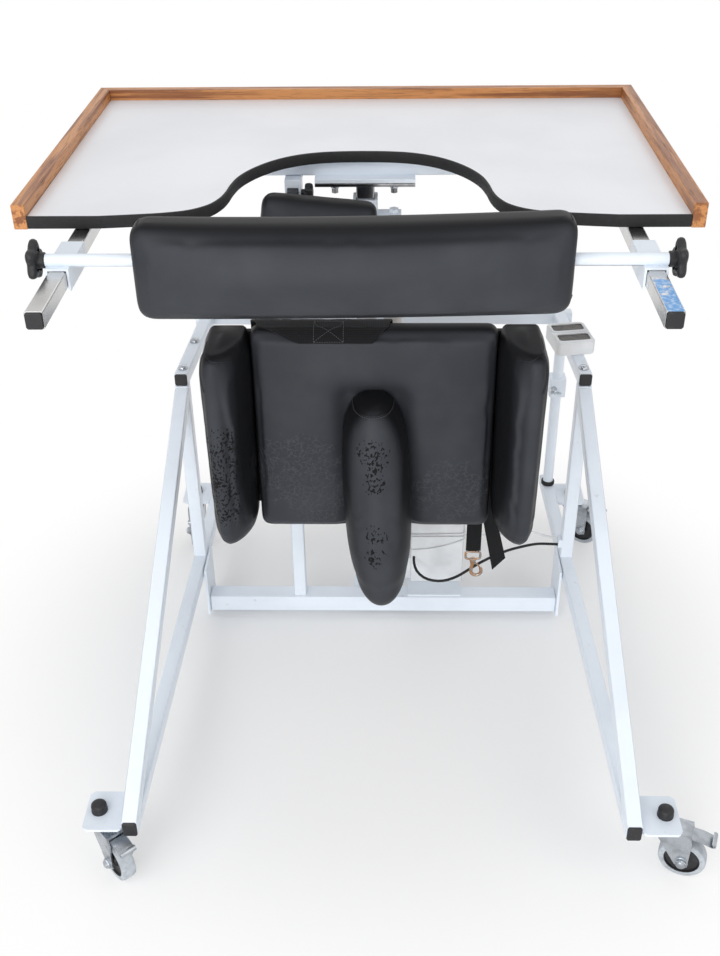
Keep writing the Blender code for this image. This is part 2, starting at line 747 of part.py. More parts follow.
# Control box laid askew on the right arm, with its two press bars
box_at = (BOX_X, BOX_Y, 0.0)
pockets = []
for shift in BUTTON_SHIFTS:
    size = (2 * BUTTON_HALF_X + 3 * GAP, 2 * BUTTON_HALF_Y + 3 * GAP, 2 * POCKET_DEEP)
    pockets.append(moved(block((0.0, shift, BOX_TOP), size), box_at, BOX_TURN))
section = square_section(2 * BOX_HALF_X, 2 * BOX_HALF_Y, BOX_CORNER)
case = loft([[(u, v, z) for u, v in section] for z in (ARM_TOP + GAP, BOX_TOP)])
piece("control_box", [moved(case, box_at, BOX_TURN)], "white_plastic", cuts=pockets)
middle = BOX_TOP - BUTTON_SUNK - BUTTON_THICK / 2
for word, shift in zip(("up", "down"), BUTTON_SHIFTS):
    size = (2 * BUTTON_HALF_X, 2 * BUTTON_HALF_Y, BUTTON_THICK)
    bar = moved(block((0.0, shift, middle), size), box_at, BOX_TURN)
    centre = (BOX_X - shift * math.sin(BOX_TURN), BOX_Y + shift * math.cos(BOX_TURN), middle)
    piece("button_" + word, [bar], "dark_window", origin=centre)

# Motor cable and supply cable, from the motor to the clip on the right upright
clip_x = BASE_X + UPRIGHT_X - HALF - CABLE_CLIP[0] + WELD / 2 - 2 * GAP
clip_y = CABLE_CLIP_Y - CABLE_CLIP[1] / 4
clip_z = CABLE_CLIP_Z - CABLE_CLIP[2] / 4
motor_face = MOTOR_NEAR - 2 * GAP
cord(
    "motor_cable",
    [
        (0.0590, motor_face, 0.1230), (0.0592, 0.0985, 0.1215), (0.0645, 0.0800, 0.1160),
        (0.0780, 0.0675, 0.1095), (0.0970, 0.0615, 0.1060), (0.1175, 0.0595, 0.1070),
        (0.1370, 0.0595, 0.1135), (0.1545, 0.0602, 0.1240), (0.1710, 0.0614, 0.1365),
        (0.1885, 0.0632, 0.1490), (0.2075, 0.0665, 0.1590), (0.2280, 0.0720, 0.1665),
        (0.2490, 0.0790, 0.1710), (0.2700, 0.0865, 0.1725), (0.2900, 0.0950, 0.1715),
        (0.3090, 0.1040, 0.1685),
        (clip_x - 0.024, clip_y - 0.002, clip_z + 0.0025), (clip_x, clip_y, clip_z),
    ],
    MOTOR_CABLE_R, 2, "black_plastic",
)
supply_y = CABLE_CLIP_Y + CABLE_CLIP[1] / 5
supply_z = CABLE_CLIP_Z + CABLE_CLIP[2] / 4
cord(
    "supply_cable",
    [
        (MOTOR_RIGHT + 2 * GAP, 0.1500, 0.1570), (0.1850, 0.1485, 0.1580), (0.2090, 0.1455, 0.1610),
        (0.2330, 0.1415, 0.1660), (0.2570, 0.1370, 0.1715), (0.2810, 0.1325, 0.1765),
        (0.3050, 0.1285, 0.1795),
        (clip_x - 0.024, supply_y + 0.002, supply_z + 0.004), (clip_x, supply_y, supply_z),
    ],
    SUPPLY_CABLE_R, 4, "white_plastic",
)

# Mast with its head plate and two bolts
mast = bar_z(MAST_X, MAST_Y, MAST_FOOT, HEAD_Z + WELD, MAST, MAST)
head_low = (MAST_X - HEAD_HALF, MAST_Y - HEAD_DEEP, HEAD_Z)
shapes = [mast, box(head_low, (MAST_X + HEAD_HALF, MAST_Y + HEAD_DEEP, HEAD_Z + HEAD_THICK))]
for shift in HEAD_BOLTS:
    at = (MAST_X + shift, MAST_Y - HEAD_BOLT_NEAR)
    shapes.append(rod((*at, HEAD_Z - HEAD_BOLT_DROP), (*at, HEAD_Z + WELD), HEAD_BOLT_R, 6))
piece("lift_mast", shapes, "chrome")

# Bracket on the mast that the actuator rod pushes against
sleeve = bar_z(MAST_X, MAST_Y, BRACKET_LOW, BRACKET_HIGH, BRACKET, BRACKET)
flange_low = (MAST_X + BRACKET / 2 - WELD, MAST_Y - FLANGE_HALF, FLANGE_Z)
flange = box(flange_low, (ROD_X + FLANGE_OUT, MAST_Y + FLANGE_HALF, FLANGE_Z + FLANGE_THICK))
lug = rod((ROD_X, MAST_Y, FLANGE_Z + FLANGE_THICK / 2), (ROD_X, MAST_Y, FLANGE_Z + LUG_HIGH), LUG_R, 6)
mast_hole = MAST / 2 + GAP
hole_low = (MAST_X - mast_hole, MAST_Y - mast_hole, BRACKET_LOW - WELD)
mast_bore = box(hole_low, (MAST_X + mast_hole, MAST_Y + mast_hole, BRACKET_HIGH + WELD))
piece("lift_bracket", [sleeve, flange, lug], "white_paint", cuts=[mast_bore])
piece("actuator_rod", [rod((ROD_X, MAST_Y, ROD_FOOT), (ROD_X, MAST_Y, FLANGE_Z - GAP), ROD_R)], "chrome")

# Beam under the tray, with the plate that the mast head bolts to, and the two rails at its ends
beam_half = RAIL_X - HALF - GAP
beam = bar_x(BEAM_Y + HALF, RAIL_Z, TRAY_X - beam_half, TRAY_X + beam_half, TUBE, TUBE)
plate_low = (MAST_X - HEAD_HALF, MAST_Y - HEAD_DEEP, HEAD_Z + HEAD_THICK + GAP)
plate = box(plate_low, (MAST_X + HEAD_HALF, MAST_Y + HEAD_DEEP, RAIL_LOW + WELD / 2))
piece("tray_beam", [beam, plate], "white_paint")
for word, side in SIDES:
    x = TRAY_X + side * RAIL_X
    near = RAIL_NEAR + PLUG_THICK + GAP
    piece("rail_" + word, [bar_y(x, RAIL_Z, near, RAIL_FAR, TUBE, TUBE)], "chrome")
    plug_size = TUBE - 2 * PLUG_FIT
    plug = bar_y(x, RAIL_Z, RAIL_NEAR, RAIL_NEAR + PLUG_THICK, plug_size, plug_size)
    piece("rail_plug_" + word, [plug], "black_plastic")

# Tray board with its body cut-out: half of the near edge, from the centre to the right
board_half = TRAY_HALF - OAK_W - GAP
half_edge = smooth_path(CUTOUT, 4) + [Vector((board_half, TRAY_NEAR))]
half_edge[0] = Vector(CUTOUT[0])
edge = [Vector((-p.x, p.y)) for p in reversed(half_edge[1:])] + half_edge
board_far = TRAY_FAR - OAK_W - GAP
outline = [(p.x, p.y) for p in edge] + [(board_half, board_far), (-board_half, board_far)]
loops = [[(TRAY_X + x, y, z) for x, y in outline] for z in (BOARD_LOW, BOARD_TOP)]
piece("tray_board", [loft(loops)], "laminate")

# Black edging along the near edge and round the cut-out
band = offset(edge, GAP) + list(reversed(offset(edge, GAP + EDGING)))
loops = [[(TRAY_X + p.x, p.y, z) for p in band] for z in (BOARD_LOW, BOARD_TOP + EDGING_PROUD)]
piece("tray_edging", [loft(loops)], "black_plastic")

# Oak rim on three sides, mitred at the far corners
near = TRAY_NEAR - GAP - EDGING
rim_inner = TRAY_HALF - OAK_W
rim_far = TRAY_FAR - OAK_W
rim = [
    (-TRAY_HALF, near), (-rim_inner, near), (-rim_inner, rim_far), (rim_inner, rim_far), (rim_inner, near),
    (TRAY_HALF, near), (TRAY_HALF, TRAY_FAR), (-TRAY_HALF, TRAY_FAR),
]
loops = [[(TRAY_X + x, y, z) for x, y in rim] for z in (BOARD_LOW, OAK_TOP)]
piece("oak_rim", [loft(loops)], "oak")

# Hip pad: bar welded to the two saddles, cushion threaded on it, knobs on its ends
bar_at = (TRAY_X, BAR_Y, BAR_Z)
shapes = [rod((TRAY_X - BAR_HALF, BAR_Y, BAR_Z), (TRAY_X + BAR_HALF, BAR_Y, BAR_Z), BAR_R)]
cuts = []
saddle_low = RAIL_Z + HALF + GAP
saddle_in = HALF + GAP
saddle_out = saddle_in + SADDLE_THICK
for side in (-1, 1):
    x = TRAY_X + side * RAIL_X
    high = (x + saddle_out, SADDLE_FAR, saddle_low + SADDLE_THICK)
    shapes.append(box((x - saddle_out, SADDLE_NEAR, SADDLE_SKIRT), high))
    low = (x - saddle_in, SADDLE_NEAR - WELD, SADDLE_SKIRT - WELD)
    cuts.append(box(low, (x + saddle_in, SADDLE_FAR + WELD, saddle_low)))
piece("hip_bar", shapes, "white_paint", cuts=cuts, origin=bar_at)
pad = cushion(HIP_HALF, HIP_ROUND, HIP_CROWN, (12, 1, 4), draw=0.03)
moved(pad, Vector(bar_at) + Vector(HIP_SHIFT))
pad_bore = rod((TRAY_X - BAR_HALF, BAR_Y, BAR_Z), (TRAY_X + BAR_HALF, BAR_Y, BAR_Z), BAR_R + GAP)
piece("hip_pad", [pad], "black_vinyl", cuts=[pad_bore], origin=bar_at)
for word, side in SIDES:
    at = (TRAY_X + side * (BAR_HALF + GAP), BAR_Y, BAR_Z)
    hub = rod((0, 0, 0), (side * (HUB_LONG + WELD), 0, 0), HUB_R)
    head = moved(lobed(KNOB_R, KNOB_DEEP), (HUB_LONG if side > 0 else -HUB_LONG - KNOB_DEEP, 0, 0))
    piece("hip_knob_" + word, [moved(hub, at), moved(head, at)], "black_plastic", origin=at)

# Chest pad: channel under the beam, black arm that slides in it, pad and clamp knob
chest_at = (CHEST_X, BEAM_Y, CHEST_ARM_Z)
slot_half = CHEST_ARM / 2 + GAP
channel_half = slot_half + CHANNEL_WALL
channel = box(
    (CHEST_X - channel_half, BEAM_Y - CHANNEL_NEAR, CHEST_ARM_Z - slot_half - CHANNEL_WALL),
    (CHEST_X + channel_half, BEAM_Y + TUBE, RAIL_LOW - GAP),
)
slot = block(chest_at, (2 * slot_half, 4 * TUBE, 2 * slot_half))
piece("chest_channel", [channel], "white_paint", cuts=[slot])
arm = bar_y(CHEST_X, CHEST_ARM_Z, CHEST_ARM_NEAR, CHEST_ARM_FAR, CHEST_ARM, CHEST_ARM)
strip_low = (CHEST_X - STRIP_HALF, STRIP_NEAR, STRIP_LOW)
strip = box(strip_low, (CHEST_X + STRIP_HALF, CHEST_ARM_NEAR + WELD, CHEST_ARM_Z + CHEST_ARM / 2 - WELD / 2))
piece("chest_arm", [arm, strip], "black_plastic", origin=chest_at)
pad = moved(cushion(CHEST_HALF, CHEST_ROUND, CHEST_CROWN, (5, 1, 4)), CHEST_PAD, CHEST_TILT, "Y")
piece("chest_pad", [pad], "black_vinyl", origin=chest_at)
at = (CHEST_X + channel_half + GAP, BEAM_Y - CHEST_KNOB_NEAR, CHEST_ARM_Z)
hub = rod((0, 0, 0), (2 * CHEST_HUB_R, 0, 0), CHEST_HUB_R, 16)
head = moved(lobed(CHEST_KNOB_R, CHEST_KNOB_DEEP), (CHEST_HUB_R, 0, 0))
piece("chest_knob", [moved(hub, at), moved(head, at)], "black_plastic", origin=at)

# Knee bracket that clamps round the column, and the plywood board it carries
knee_at = (MAST_X, MAST_Y, (KNEE_SLEEVE_LOW + KNEE_SLEEVE_HIGH) / 2)
sleeve = bar_z(MAST_X, MAST_Y, KNEE_SLEEVE_LOW, KNEE_SLEEVE_HIGH, KNEE_SLEEVE, KNEE_SLEEVE)
stub_half = KNEE_STUB / 2
stub_low = (MAST_X - stub_half, KNEE_BOARD + WELD, KNEE_SLEEVE_LOW + stub_half)
stub = box(stub_low, (MAST_X + stub_half, MAST_Y - KNEE_SLEEVE / 2 + WELD, KNEE_SLEEVE_HIGH - stub_half))
face_low = (MAST_X - KNEE_FACE_HALF, KNEE_BOARD + GAP, KNEE_SLEEVE_LOW)
face = box(face_low, (MAST_X + KNEE_FACE_HALF, KNEE_BOARD + 2 * WELD, KNEE_SLEEVE_HIGH))
hole = COLUMN / 2 + GAP
hole_low = (MAST_X - hole, MAST_Y - hole, KNEE_SLEEVE_LOW - WELD)
sleeve_bore = box(hole_low, (MAST_X + hole, MAST_Y + hole, KNEE_SLEEVE_HIGH + WELD))
piece("knee_bracket", [sleeve, stub, face], "white_paint", cuts=[sleeve_bore], origin=knee_at)
board_low = (KNEE_X - KNEE_BOARD_HALF, 0.0, KNEE_BOARD_LOW)
board = box(board_low, (KNEE_X + KNEE_BOARD_HALF, KNEE_BOARD, KNEE_BOARD_HIGH))
piece("knee_board", [board], "plywood", origin=knee_at)
at = (MAST_X - KNEE_SLEEVE / 2 - GAP, MAST_Y, knee_at[2])
hub = rod((0, 0, 0), (-KNEE_HUB_LONG, 0, 0), KNEE_HUB_R, 16)
head = moved(lobed(KNEE_KNOB_R, KNEE_KNOB_DEEP), (WELD - KNEE_HUB_LONG - KNEE_KNOB_DEEP, 0, 0))
piece("knee_knob", [moved(hub, at), moved(head, at)], "black_plastic", origin=at)

# Knee panel and the two bolsters beside the knees
pad = cushion((PANEL_HALF_X, PANEL_THICK / 2, PANEL_HALF_Z), PANEL_ROUND, PANEL_CROWN, (8, 1, 8))
moved(pad, (KNEE_X, -PANEL_THICK / 2 - GAP, PANEL_Z))
piece("knee_panel", [pad], "black_vinyl", origin=knee_at)
for word, side in SIDES:
    loops = []
    for fall, wide, deep in LATERAL_FORM:
        z = LATERAL_TOP + (LATERAL_LOW - LATERAL_TOP) * fall
        loop = []
        for across, out in LATERAL_SECTION:
            x = KNEE_X + side * (LATERAL_X + LATERAL_WIDE * (across - 0.5) * wide)
            loop.append((x, -GAP - LATERAL_DEPTH * out * deep, z))
        loops.append(loop)
    piece("knee_lateral_" + word, [loft(loops)], "black_vinyl", origin=knee_at)

# Pommel between the knees: an oval top that grows wider and deeper, then draws in to its foot
back = -PANEL_THICK - PANEL_CROWN - 2 * GAP
loops = []
for fall, wide, deep in POMMEL_FORM:
    z = POMMEL_TOP + (POMMEL_LOW - POMMEL_TOP) * fall
    loop = []
    for i in range(17):
        turn = math.pi * i / 16
        x = POMMEL_X + POMMEL_LEAN * fall + POMMEL_WIDE * wide * math.cos(turn)
        loop.append((x, back - POMMEL_DEEP * deep * math.sin(turn) ** POMMEL_BLUNT, z))
    loops.append(loop)
piece("knee_pommel", [loft(loops)], "black_vinyl", origin=knee_at)

# Sling belt folded over the top of the knee panel, wide at the fold and narrow at its near end
panel_top = PANEL_Z + PANEL_HALF_Z
route = []
for degrees in (0, 30, 60, 90):
    turn = math.radians(degrees)
    out = PANEL_ROUND + 2 * GAP + BELT_EASE * math.cos(turn)
    near = PANEL_ROUND - PANEL_THICK - out * math.cos(turn)
    route.append((near, panel_top - PANEL_ROUND + out * math.sin(turn)))
route += [
    (-PANEL_THICK * 0.16, panel_top + 2 * GAP), (KNEE_BOARD * 0.75, panel_top - PANEL_ROUND * 0.44),
    (KNEE_BOARD + 2 * GAP, KNEE_BOARD_HIGH), (KNEE_BOARD + GAP, KNEE_BOARD_HIGH - BELT_BACK / 2),
    (KNEE_BOARD + GAP, KNEE_BOARD_HIGH - BELT_BACK),
]
fold = smooth_path(route, 3)
loops = []
for i, p in enumerate(fold):
    s = min(1.0, i / 9)
    left = BELT_END_LEFT + (BELT_FOLD_LEFT - BELT_END_LEFT) * s
    right = BELT_END_RIGHT + (BELT_FOLD_RIGHT - BELT_END_RIGHT) * s
    along = (fold[min(i + 1, len(fold) - 1)] - fold[max(i - 1, 0)]).normalized()
    q = p + Vector((-along.y, along.x)) * WEB
    loops.append([(left, p.x, p.y), (right, p.x, p.y), (right, q.x, q.y), (left, q.x, q.y)])
piece("sling_belt", [loft(loops)], "black_web", origin=knee_at)

# Webbing strap hanging from the board, with its metal hook
web_y = KNEE_BOARD + GAP
strap = box((STRAP_LEFT, web_y, STRAP_LOW), (STRAP_RIGHT, web_y + STRAP_THICK, STRAP_TOP))
tail = block((0.0, 0.0, TAIL_WIDE / 2 - TAIL_LONG / 2), (TAIL_WIDE, STRAP_THICK, TAIL_LONG))
moved(tail, (TAIL_TOP[0], web_y + STRAP_THICK / 2, TAIL_TOP[1]), TAIL_LEAN, "Y")
piece("sling_strap", [strap, tail], "black_web", origin=knee_at)
hook_y = web_y + STRAP_THICK / 2
eye_low = STRAP_LOW - GAP - HOOK_EYE
low = eye_low - HOOK_LONG + HOOK_R
eye_high = (HOOK_X + HOOK_HALF, hook_y + HOOK_DEEP, STRAP_LOW - GAP)
eye = box((HOOK_X - HOOK_HALF, hook_y - HOOK_DEEP, eye_low), eye_high)
shank = rod((HOOK_X, hook_y, low), (HOOK_X, hook_y, eye_low + WELD), HOOK_R, 12)
curl = rod((HOOK_X - WELD, hook_y, low), (HOOK_X + HOOK_OUT + WELD / 2, hook_y, low), HOOK_R * 0.9, 12)
tip = rod((HOOK_X + HOOK_OUT, hook_y, low), (HOOK_X + HOOK_OUT, hook_y, low + HOOK_TIP), HOOK_R * 0.8, 12)
piece("strap_hook", [eye, shank, curl, tip], "zinc", origin=knee_at)

# Casters: fork with stem, cap and axle; wheel; and brake pedal
TYRE = [(-0.5, 0.80), (-0.5, 0.93), (-0.34, 0.985), (0.0, 1.0), (0.34, 0.985), (0.5, 0.93), (0.5, 0.80)]
HUB = [(0.40, 0.74), (0.40, 0.34), (0.5, 0.30)]
bore_r = (AXLE_R + RUN_CLEAR) / WHEEL_R
profile = TYRE + HUB + [(0.5, bore_r), (-0.5, bore_r)] + [(-x, r) for x, r in reversed(HUB)]
wheel_profile = [(x * WHEEL_W, r * WHEEL_R) for x, r in profile]
CASTERS = (
    ("rear_left", BASE_X - STEM_X, REAR_STEM_Y, -48.0),
    ("rear_right", BASE_X + STEM_X, REAR_STEM_Y, -20.0),
    ("front_left", BASE_X - FRONT_STEM_X, FRONT_STEM_Y, -88.0),
    ("front_right", BASE_X + FRONT_STEM_X, FRONT_STEM_Y, -30.0),
)
head_top = PLATE_Z - GAP
leg = [
    (FORK_NEAR - WELD, LEG_TOP), (-FORK_FAR, LEG_TOP), (-FORK_FAR - WELD, LEG_MID),
    (-TRAIL - LEG_EAR, LEG_LOW), (-TRAIL, LEG_TIP), (-TRAIL + LEG_EAR, LEG_LOW),
]
tread = [
    (PEDAL_HEEL, PEDAL_THICK), (-PEDAL_LONG * 0.55, 0.0), (-PEDAL_LONG, -PEDAL_LIP * 0.65),
    (-PEDAL_LONG - PEDAL_THICK, -PEDAL_LIP), (-PEDAL_LONG * 0.55, -PEDAL_LIP * 0.45),
    (PEDAL_HEEL, -PEDAL_THICK),
]
for word, x, y, heading in CASTERS:
    turn = math.radians(heading) + math.pi / 2
    shapes = [rod((0, 0, head_top - FORK_HEAD), (0, 0, head_top), FORK_HEAD_R)]
    shapes.append(rod((0, 0, head_top - WELD), (0, 0, PLATE_TOP + WELD), STEM_R))
    shapes.append(rod((0, 0, PLATE_TOP + GAP), (0, 0, PLATE_TOP + CAP_HIGH), CAP_R))
    crown_top = head_top - FORK_HEAD + WELD
    shapes.append(box((-LEG_OUT, -FORK_FAR, FORK_TOP_LOW), (LEG_OUT, FORK_NEAR, crown_top)))
    for low, high in ((-LEG_OUT, -LEG_IN), (LEG_IN, LEG_OUT)):
        shapes.append(loft([[(u, v, w) for v, w in leg] for u in (low, high)]))
    shapes.append(rod((-LEG_OUT, -TRAIL, WHEEL_R), (LEG_OUT, -TRAIL, WHEEL_R), AXLE_R, 24))
    for side in (-1, 1):
        nut = (side * (LEG_OUT - LEG_THICK / 3), side * (LEG_OUT + LEG_THICK))
        shapes.append(rod((nut[0], -TRAIL, WHEEL_R), (nut[1], -TRAIL, WHEEL_R), NUT_R, 6))
    fork = piece("fork_" + word, shapes, "zinc")
    fork.location = (x, y, 0.0)
    fork.rotation_euler.z = turn
    trail = Vector((math.sin(turn), -math.cos(turn), 0.0))
    wheel = piece("wheel_" + word, [turned(wheel_profile, 24)], "grey_rubber")
    wheel.location = Vector((x, y, WHEEL_R)) + trail * TRAIL
    wheel.rotation_euler.z = turn
    wide = LEG_IN - 2 * GAP
    pedal = piece("pedal_" + word, [loft([[(u, v, w) for v, w in tread] for u in (-wide, wide)])], "zinc")
    pedal.location = Vector((x, y, PEDAL_PIVOT_Z)) + trail * PEDAL_PIVOT_OUT
    pedal.rotation_euler.z = turn
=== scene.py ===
"""Powered standing frame, dressed piece by piece in the order that it is put together."""

from math import copysign, cos, exp, hypot, pi, radians, sin

import bmesh
import bpy
from mathutils import Matrix, Vector, noise
from mathutils.bvhtree import BVHTree


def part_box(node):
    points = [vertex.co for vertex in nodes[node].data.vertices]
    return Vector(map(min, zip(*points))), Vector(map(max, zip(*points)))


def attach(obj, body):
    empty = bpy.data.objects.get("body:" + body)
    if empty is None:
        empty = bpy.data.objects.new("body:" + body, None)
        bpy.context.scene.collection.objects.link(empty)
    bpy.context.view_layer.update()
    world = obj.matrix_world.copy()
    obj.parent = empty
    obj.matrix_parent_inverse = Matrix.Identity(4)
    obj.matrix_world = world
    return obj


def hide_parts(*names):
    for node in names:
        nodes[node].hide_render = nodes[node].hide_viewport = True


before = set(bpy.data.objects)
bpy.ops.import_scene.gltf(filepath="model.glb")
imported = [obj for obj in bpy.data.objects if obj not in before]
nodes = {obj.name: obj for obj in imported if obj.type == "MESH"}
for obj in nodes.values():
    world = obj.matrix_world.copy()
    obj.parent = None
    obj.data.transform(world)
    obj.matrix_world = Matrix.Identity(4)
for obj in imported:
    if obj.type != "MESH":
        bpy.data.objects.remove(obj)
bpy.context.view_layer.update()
scene = bpy.context.scene


# Side frames
# Two welded frames of one inch square steel tube, each a base tube, an upright and two caster plates,
# with a diagonal bolted on. They are powder coated white, which leaves a fine orange peel.
class Tone:
    """One value in a finish. Sums on it add the nodes that work them out."""

    def __init__(self, finish, socket):
        self.finish = finish
        self.socket = socket

    def sum(self, operation, first, second=0.0):
        return self.finish.node("ShaderNodeMath", {"operation": operation}, {0: first, 1: second})

    def __add__(self, other):
        return self.sum("ADD", self, other)

    __radd__ = __add__

    def __sub__(self, other):
        return self.sum("SUBTRACT", self, other)

    def __rsub__(self, other):
        return self.sum("SUBTRACT", other, self)

    def __mul__(self, other):
        return self.sum("MULTIPLY", self, other)

    __rmul__ = __mul__

    def __abs__(self):
        return self.sum("ABSOLUTE", self)

    def __lt__(self, other):
        return self.sum("LESS_THAN", self, other)


class Finish:
    """A material: its shader, and one method that adds any other node to it."""

    def __init__(self, name, **fixed):
        self.material = bpy.data.materials.new(name)
        self.material.use_nodes = True
        self.tree = self.material.node_tree
        self.shader = self.tree.nodes["Principled BSDF"]
        self.place = self.node("ShaderNodeTexCoord", output="Object")
        self.shade({key.replace("_", " "): value for key, value in fixed.items()})

    def plug(self, socket, value):
        if isinstance(value, Tone):
            self.tree.links.new(value.socket, socket)
        elif isinstance(value, tuple) and len(value) == 3 and socket.type == "RGBA":
            socket.default_value = (*value, 1.0)
        else:
            socket.default_value = value

    def node(self, kind, settings=None, inputs=None, output=0):
        new = self.tree.nodes.new(kind)
        for key, value in (settings or {}).items():
            setattr(new, key, value)
        for key, value in (inputs or {}).items():
            self.plug(new.inputs[key], value)
        return Tone(self, new.outputs[output])

    def shade(self, inputs):
        for key, value in inputs.items():
            self.plug(self.shader.inputs[key], value)

    def grain(self, scale, detail=3.0, stretch=None):
        """Soft random variation from 0 to 1, with about so many features in a metre."""
        place = self.place
        if stretch:
            place = self.node("ShaderNodeMapping", {}, {"Vector": place, "Scale": stretch})
        return self.node("ShaderNodeTexNoise", {}, {"Vector": place, "Scale": scale, "Detail": detail})

    def fade(self, value, low, high):
        """0 below low, 1 above high and smooth between them."""
        inputs = {"Value": value, "From Min": low, "From Max": high}
        return self.node("ShaderNodeMapRange", {"interpolation_type": "SMOOTHSTEP"}, inputs)

    def mixed(self, share, first, second):
        return self.node("ShaderNodeMix", {"data_type": "RGBA"}, {0: share, 6: first, 7: second}, output=2)

    def bumped(self, height, depth, strength=1.0):
        return self.node("ShaderNodeBump", {}, {"Height": height, "Distance": depth, "Strength": strength})

    def axis(self, letter):
        return self.node("ShaderNodeSeparateXYZ", {}, {0: self.place}, output=letter)

    def away(self, point):
        """Distance from a point."""
        settings = {"operation": "DISTANCE"}
        return self.node("ShaderNodeVectorMath", settings, {0: self.place, 1: tuple(point)}, output="Value")


COAT = (0.8, 0.865, 0.945)
COAT_SHADE = (0.7, 0.76, 0.84)
SCUFF = (0.42, 0.42, 0.42)
TUBE_EDGE = 0.001
SAME_SPOT = 0.00001
white = Finish("white_powder_coat", Coat_Weight=0.15, Coat_Roughness=0.2)
cloud = white.grain(7.0, 4.0)
scuffed = white.fade(white.grain(75.0, 6.0), 0.66, 0.74) * white.fade(white.grain(6.0), 0.52, 0.62)
coat = white.mixed(0.55 * white.fade(cloud, 0.42, 0.7), COAT, COAT_SHADE)
white.shade({
    "Base Color": white.mixed(0.4 * scuffed, coat, SCUFF),
    "Roughness": 0.3 + 0.16 * cloud + 0.15 * scuffed,
    "Normal": white.bumped(white.grain(650.0, 2.0), 0.00025, 0.5),
})


def work(thing, kind, **settings):
    """Adds a modifier with its settings."""
    step = thing.modifiers.new(kind.lower(), kind)
    for key, value in settings.items():
        setattr(step, key, value)


def dress(finish, edge, *names):
    """Gives carried-over pieces their finish, and takes the sharpness off their edges."""
    for name in names:
        thing = nodes[name]
        mesh = thing.data
        mesh.materials.clear()
        mesh.materials.append(finish.material)
        for word in ("custom_normal", "sharp_edge"):
            if word in mesh.attributes:
                mesh.attributes.remove(mesh.attributes[word])
        work(thing, "WELD", merge_threshold=SAME_SPOT)
        work(thing, "DECIMATE", decimate_type="DISSOLVE", angle_limit=radians(0.5))
        work(thing, "BEVEL", width=edge, segments=2, limit_method="ANGLE", angle_limit=radians(55))
        work(thing, "WEIGHTED_NORMAL", weight=80)


dress(white, TUBE_EDGE, "side_frame_left", "side_frame_right", "diagonal_left", "diagonal_right")


# Tube plugs
# Square ribbed plugs of black polyethylene, pressed into the open ends of the tubes.
# Their faces have eased edges and the fine matt grain of the mould.
PLUG_BLACK = (0.012, 0.012, 0.014)
RUBBED = (0.035, 0.036, 0.04)
PLUG_EDGE = 0.0012
black = Finish("black_moulding", Specular_IOR_Level=0.45)
rub = black.fade(black.grain(90.0, 5.0), 0.55, 0.72)
black.shade({
    "Base Color": black.mixed(0.6 * rub, PLUG_BLACK, RUBBED),
    "Roughness": 0.4 + 0.16 * black.grain(160.0),
    "Normal": black.bumped(black.grain(1500.0, 2.0), 0.00015, 0.6),
})
for ends in ("diagonal_plug", "arm_plug", "rail_plug"):
    dress(black, PLUG_EDGE, ends + "_left", ends + "_right")


# Top frame
# Two square arms welded to a crossbar, laid over the uprights and held down by domed zinc bolts.
# From here on, the places of pieces are measured from a datum on the floor.
DATUM = Vector((0.012, 0.0664, 0.0))
BASE_X = -0.006
ARM_TOP = 0.5564
ARM_BOLT_R = 0.0088
ARM_BOLT_RISE = 0.0062
ARM_BOLT_HEAD = (
    (0.0, 0.0), (1.1, 0.0), (1.1, 0.22), (0.98, 0.3),
    (0.92, 0.62), (0.7, 0.88), (0.4, 1.0), (0.0, 1.03),
)
ARM_BOLTS = ((-0.3775, 0.135), (-0.3705, 0.247), (0.3775, 0.135))
ZINC = (0.46, 0.49, 0.525)
ZINC_DULL = (0.27, 0.285, 0.31)
dress(white, TUBE_EDGE, "top_frame")

zinc = Finish("zinc_plate", Metallic=1.0)
spangle = zinc.node("ShaderNodeTexVoronoi", {}, {"Vector": zinc.place, "Scale": 140.0}, output="Distance")
dulled = zinc.fade(zinc.grain(34.0, 5.0), 0.42, 0.7)
zinc.shade({
    "Base Color": zinc.mixed(0.75 * dulled, ZINC, ZINC_DULL),
    "Roughness": 0.2 + 0.16 * dulled + 0.1 * spangle,
    "Normal": zinc.bumped(zinc.grain(420.0, 3.0), 0.00012, 0.5),
})


def placed(x, y, z):
    """Moves a shape to a place that is measured from the datum."""
    return Matrix.Translation(DATUM + Vector((x, y, z)))


def bridge(bm, rings, ends=True):
    """Joins each ring of corners to the next one with faces, and closes the two ends."""
    for low, high in zip(rings, rings[1:]):
        for i in range(len(low)):
            j = (i + 1) % len(low)
            bm.faces.new((low[i], low[j], high[j], high[i]))
    if ends:
        bm.faces.new(rings[0])
        bm.faces.new(rings[-1])


def lathe(bm, place, profile, sides=32, tone=0):
    """Adds a turned shape about its own Z axis, from (radius, height) points."""
    rings = []
    for r, z in profile:
        count = sides if r > 1e-6 else 1
        turns = [2 * pi * i / sides for i in range(count)]
        rings.append([bm.verts.new(place @ Vector((r * cos(t), r * sin(t), z))) for t in turns])
    for low, high in zip(rings, rings[1:]):
        for i in range(sides):
            j = (i + 1) % sides
            corners = [low[i % len(low)], low[j % len(low)], high[j % len(high)], high[i % len(high)]]
            unique = list(dict.fromkeys(corners))
            if len(unique) > 2:
                bm.faces.new(unique).material_index = tone


def put(name, data):
    """A new object in the scene."""
    thing = bpy.data.objects.new(name, data)
    scene.collection.objects.link(thing)
    return thing


def fitted(thing, body, node=None):
    """Ties a piece to the body it moves with and the node it stands for."""
    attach(thing, body)
    if node:
        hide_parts(node)


def tangent(line, i):
    """The way that a line runs at one of its points."""
    return (line[min(i + 1, len(line) - 1)] - line[max(i - 1, 0)]).normalized()


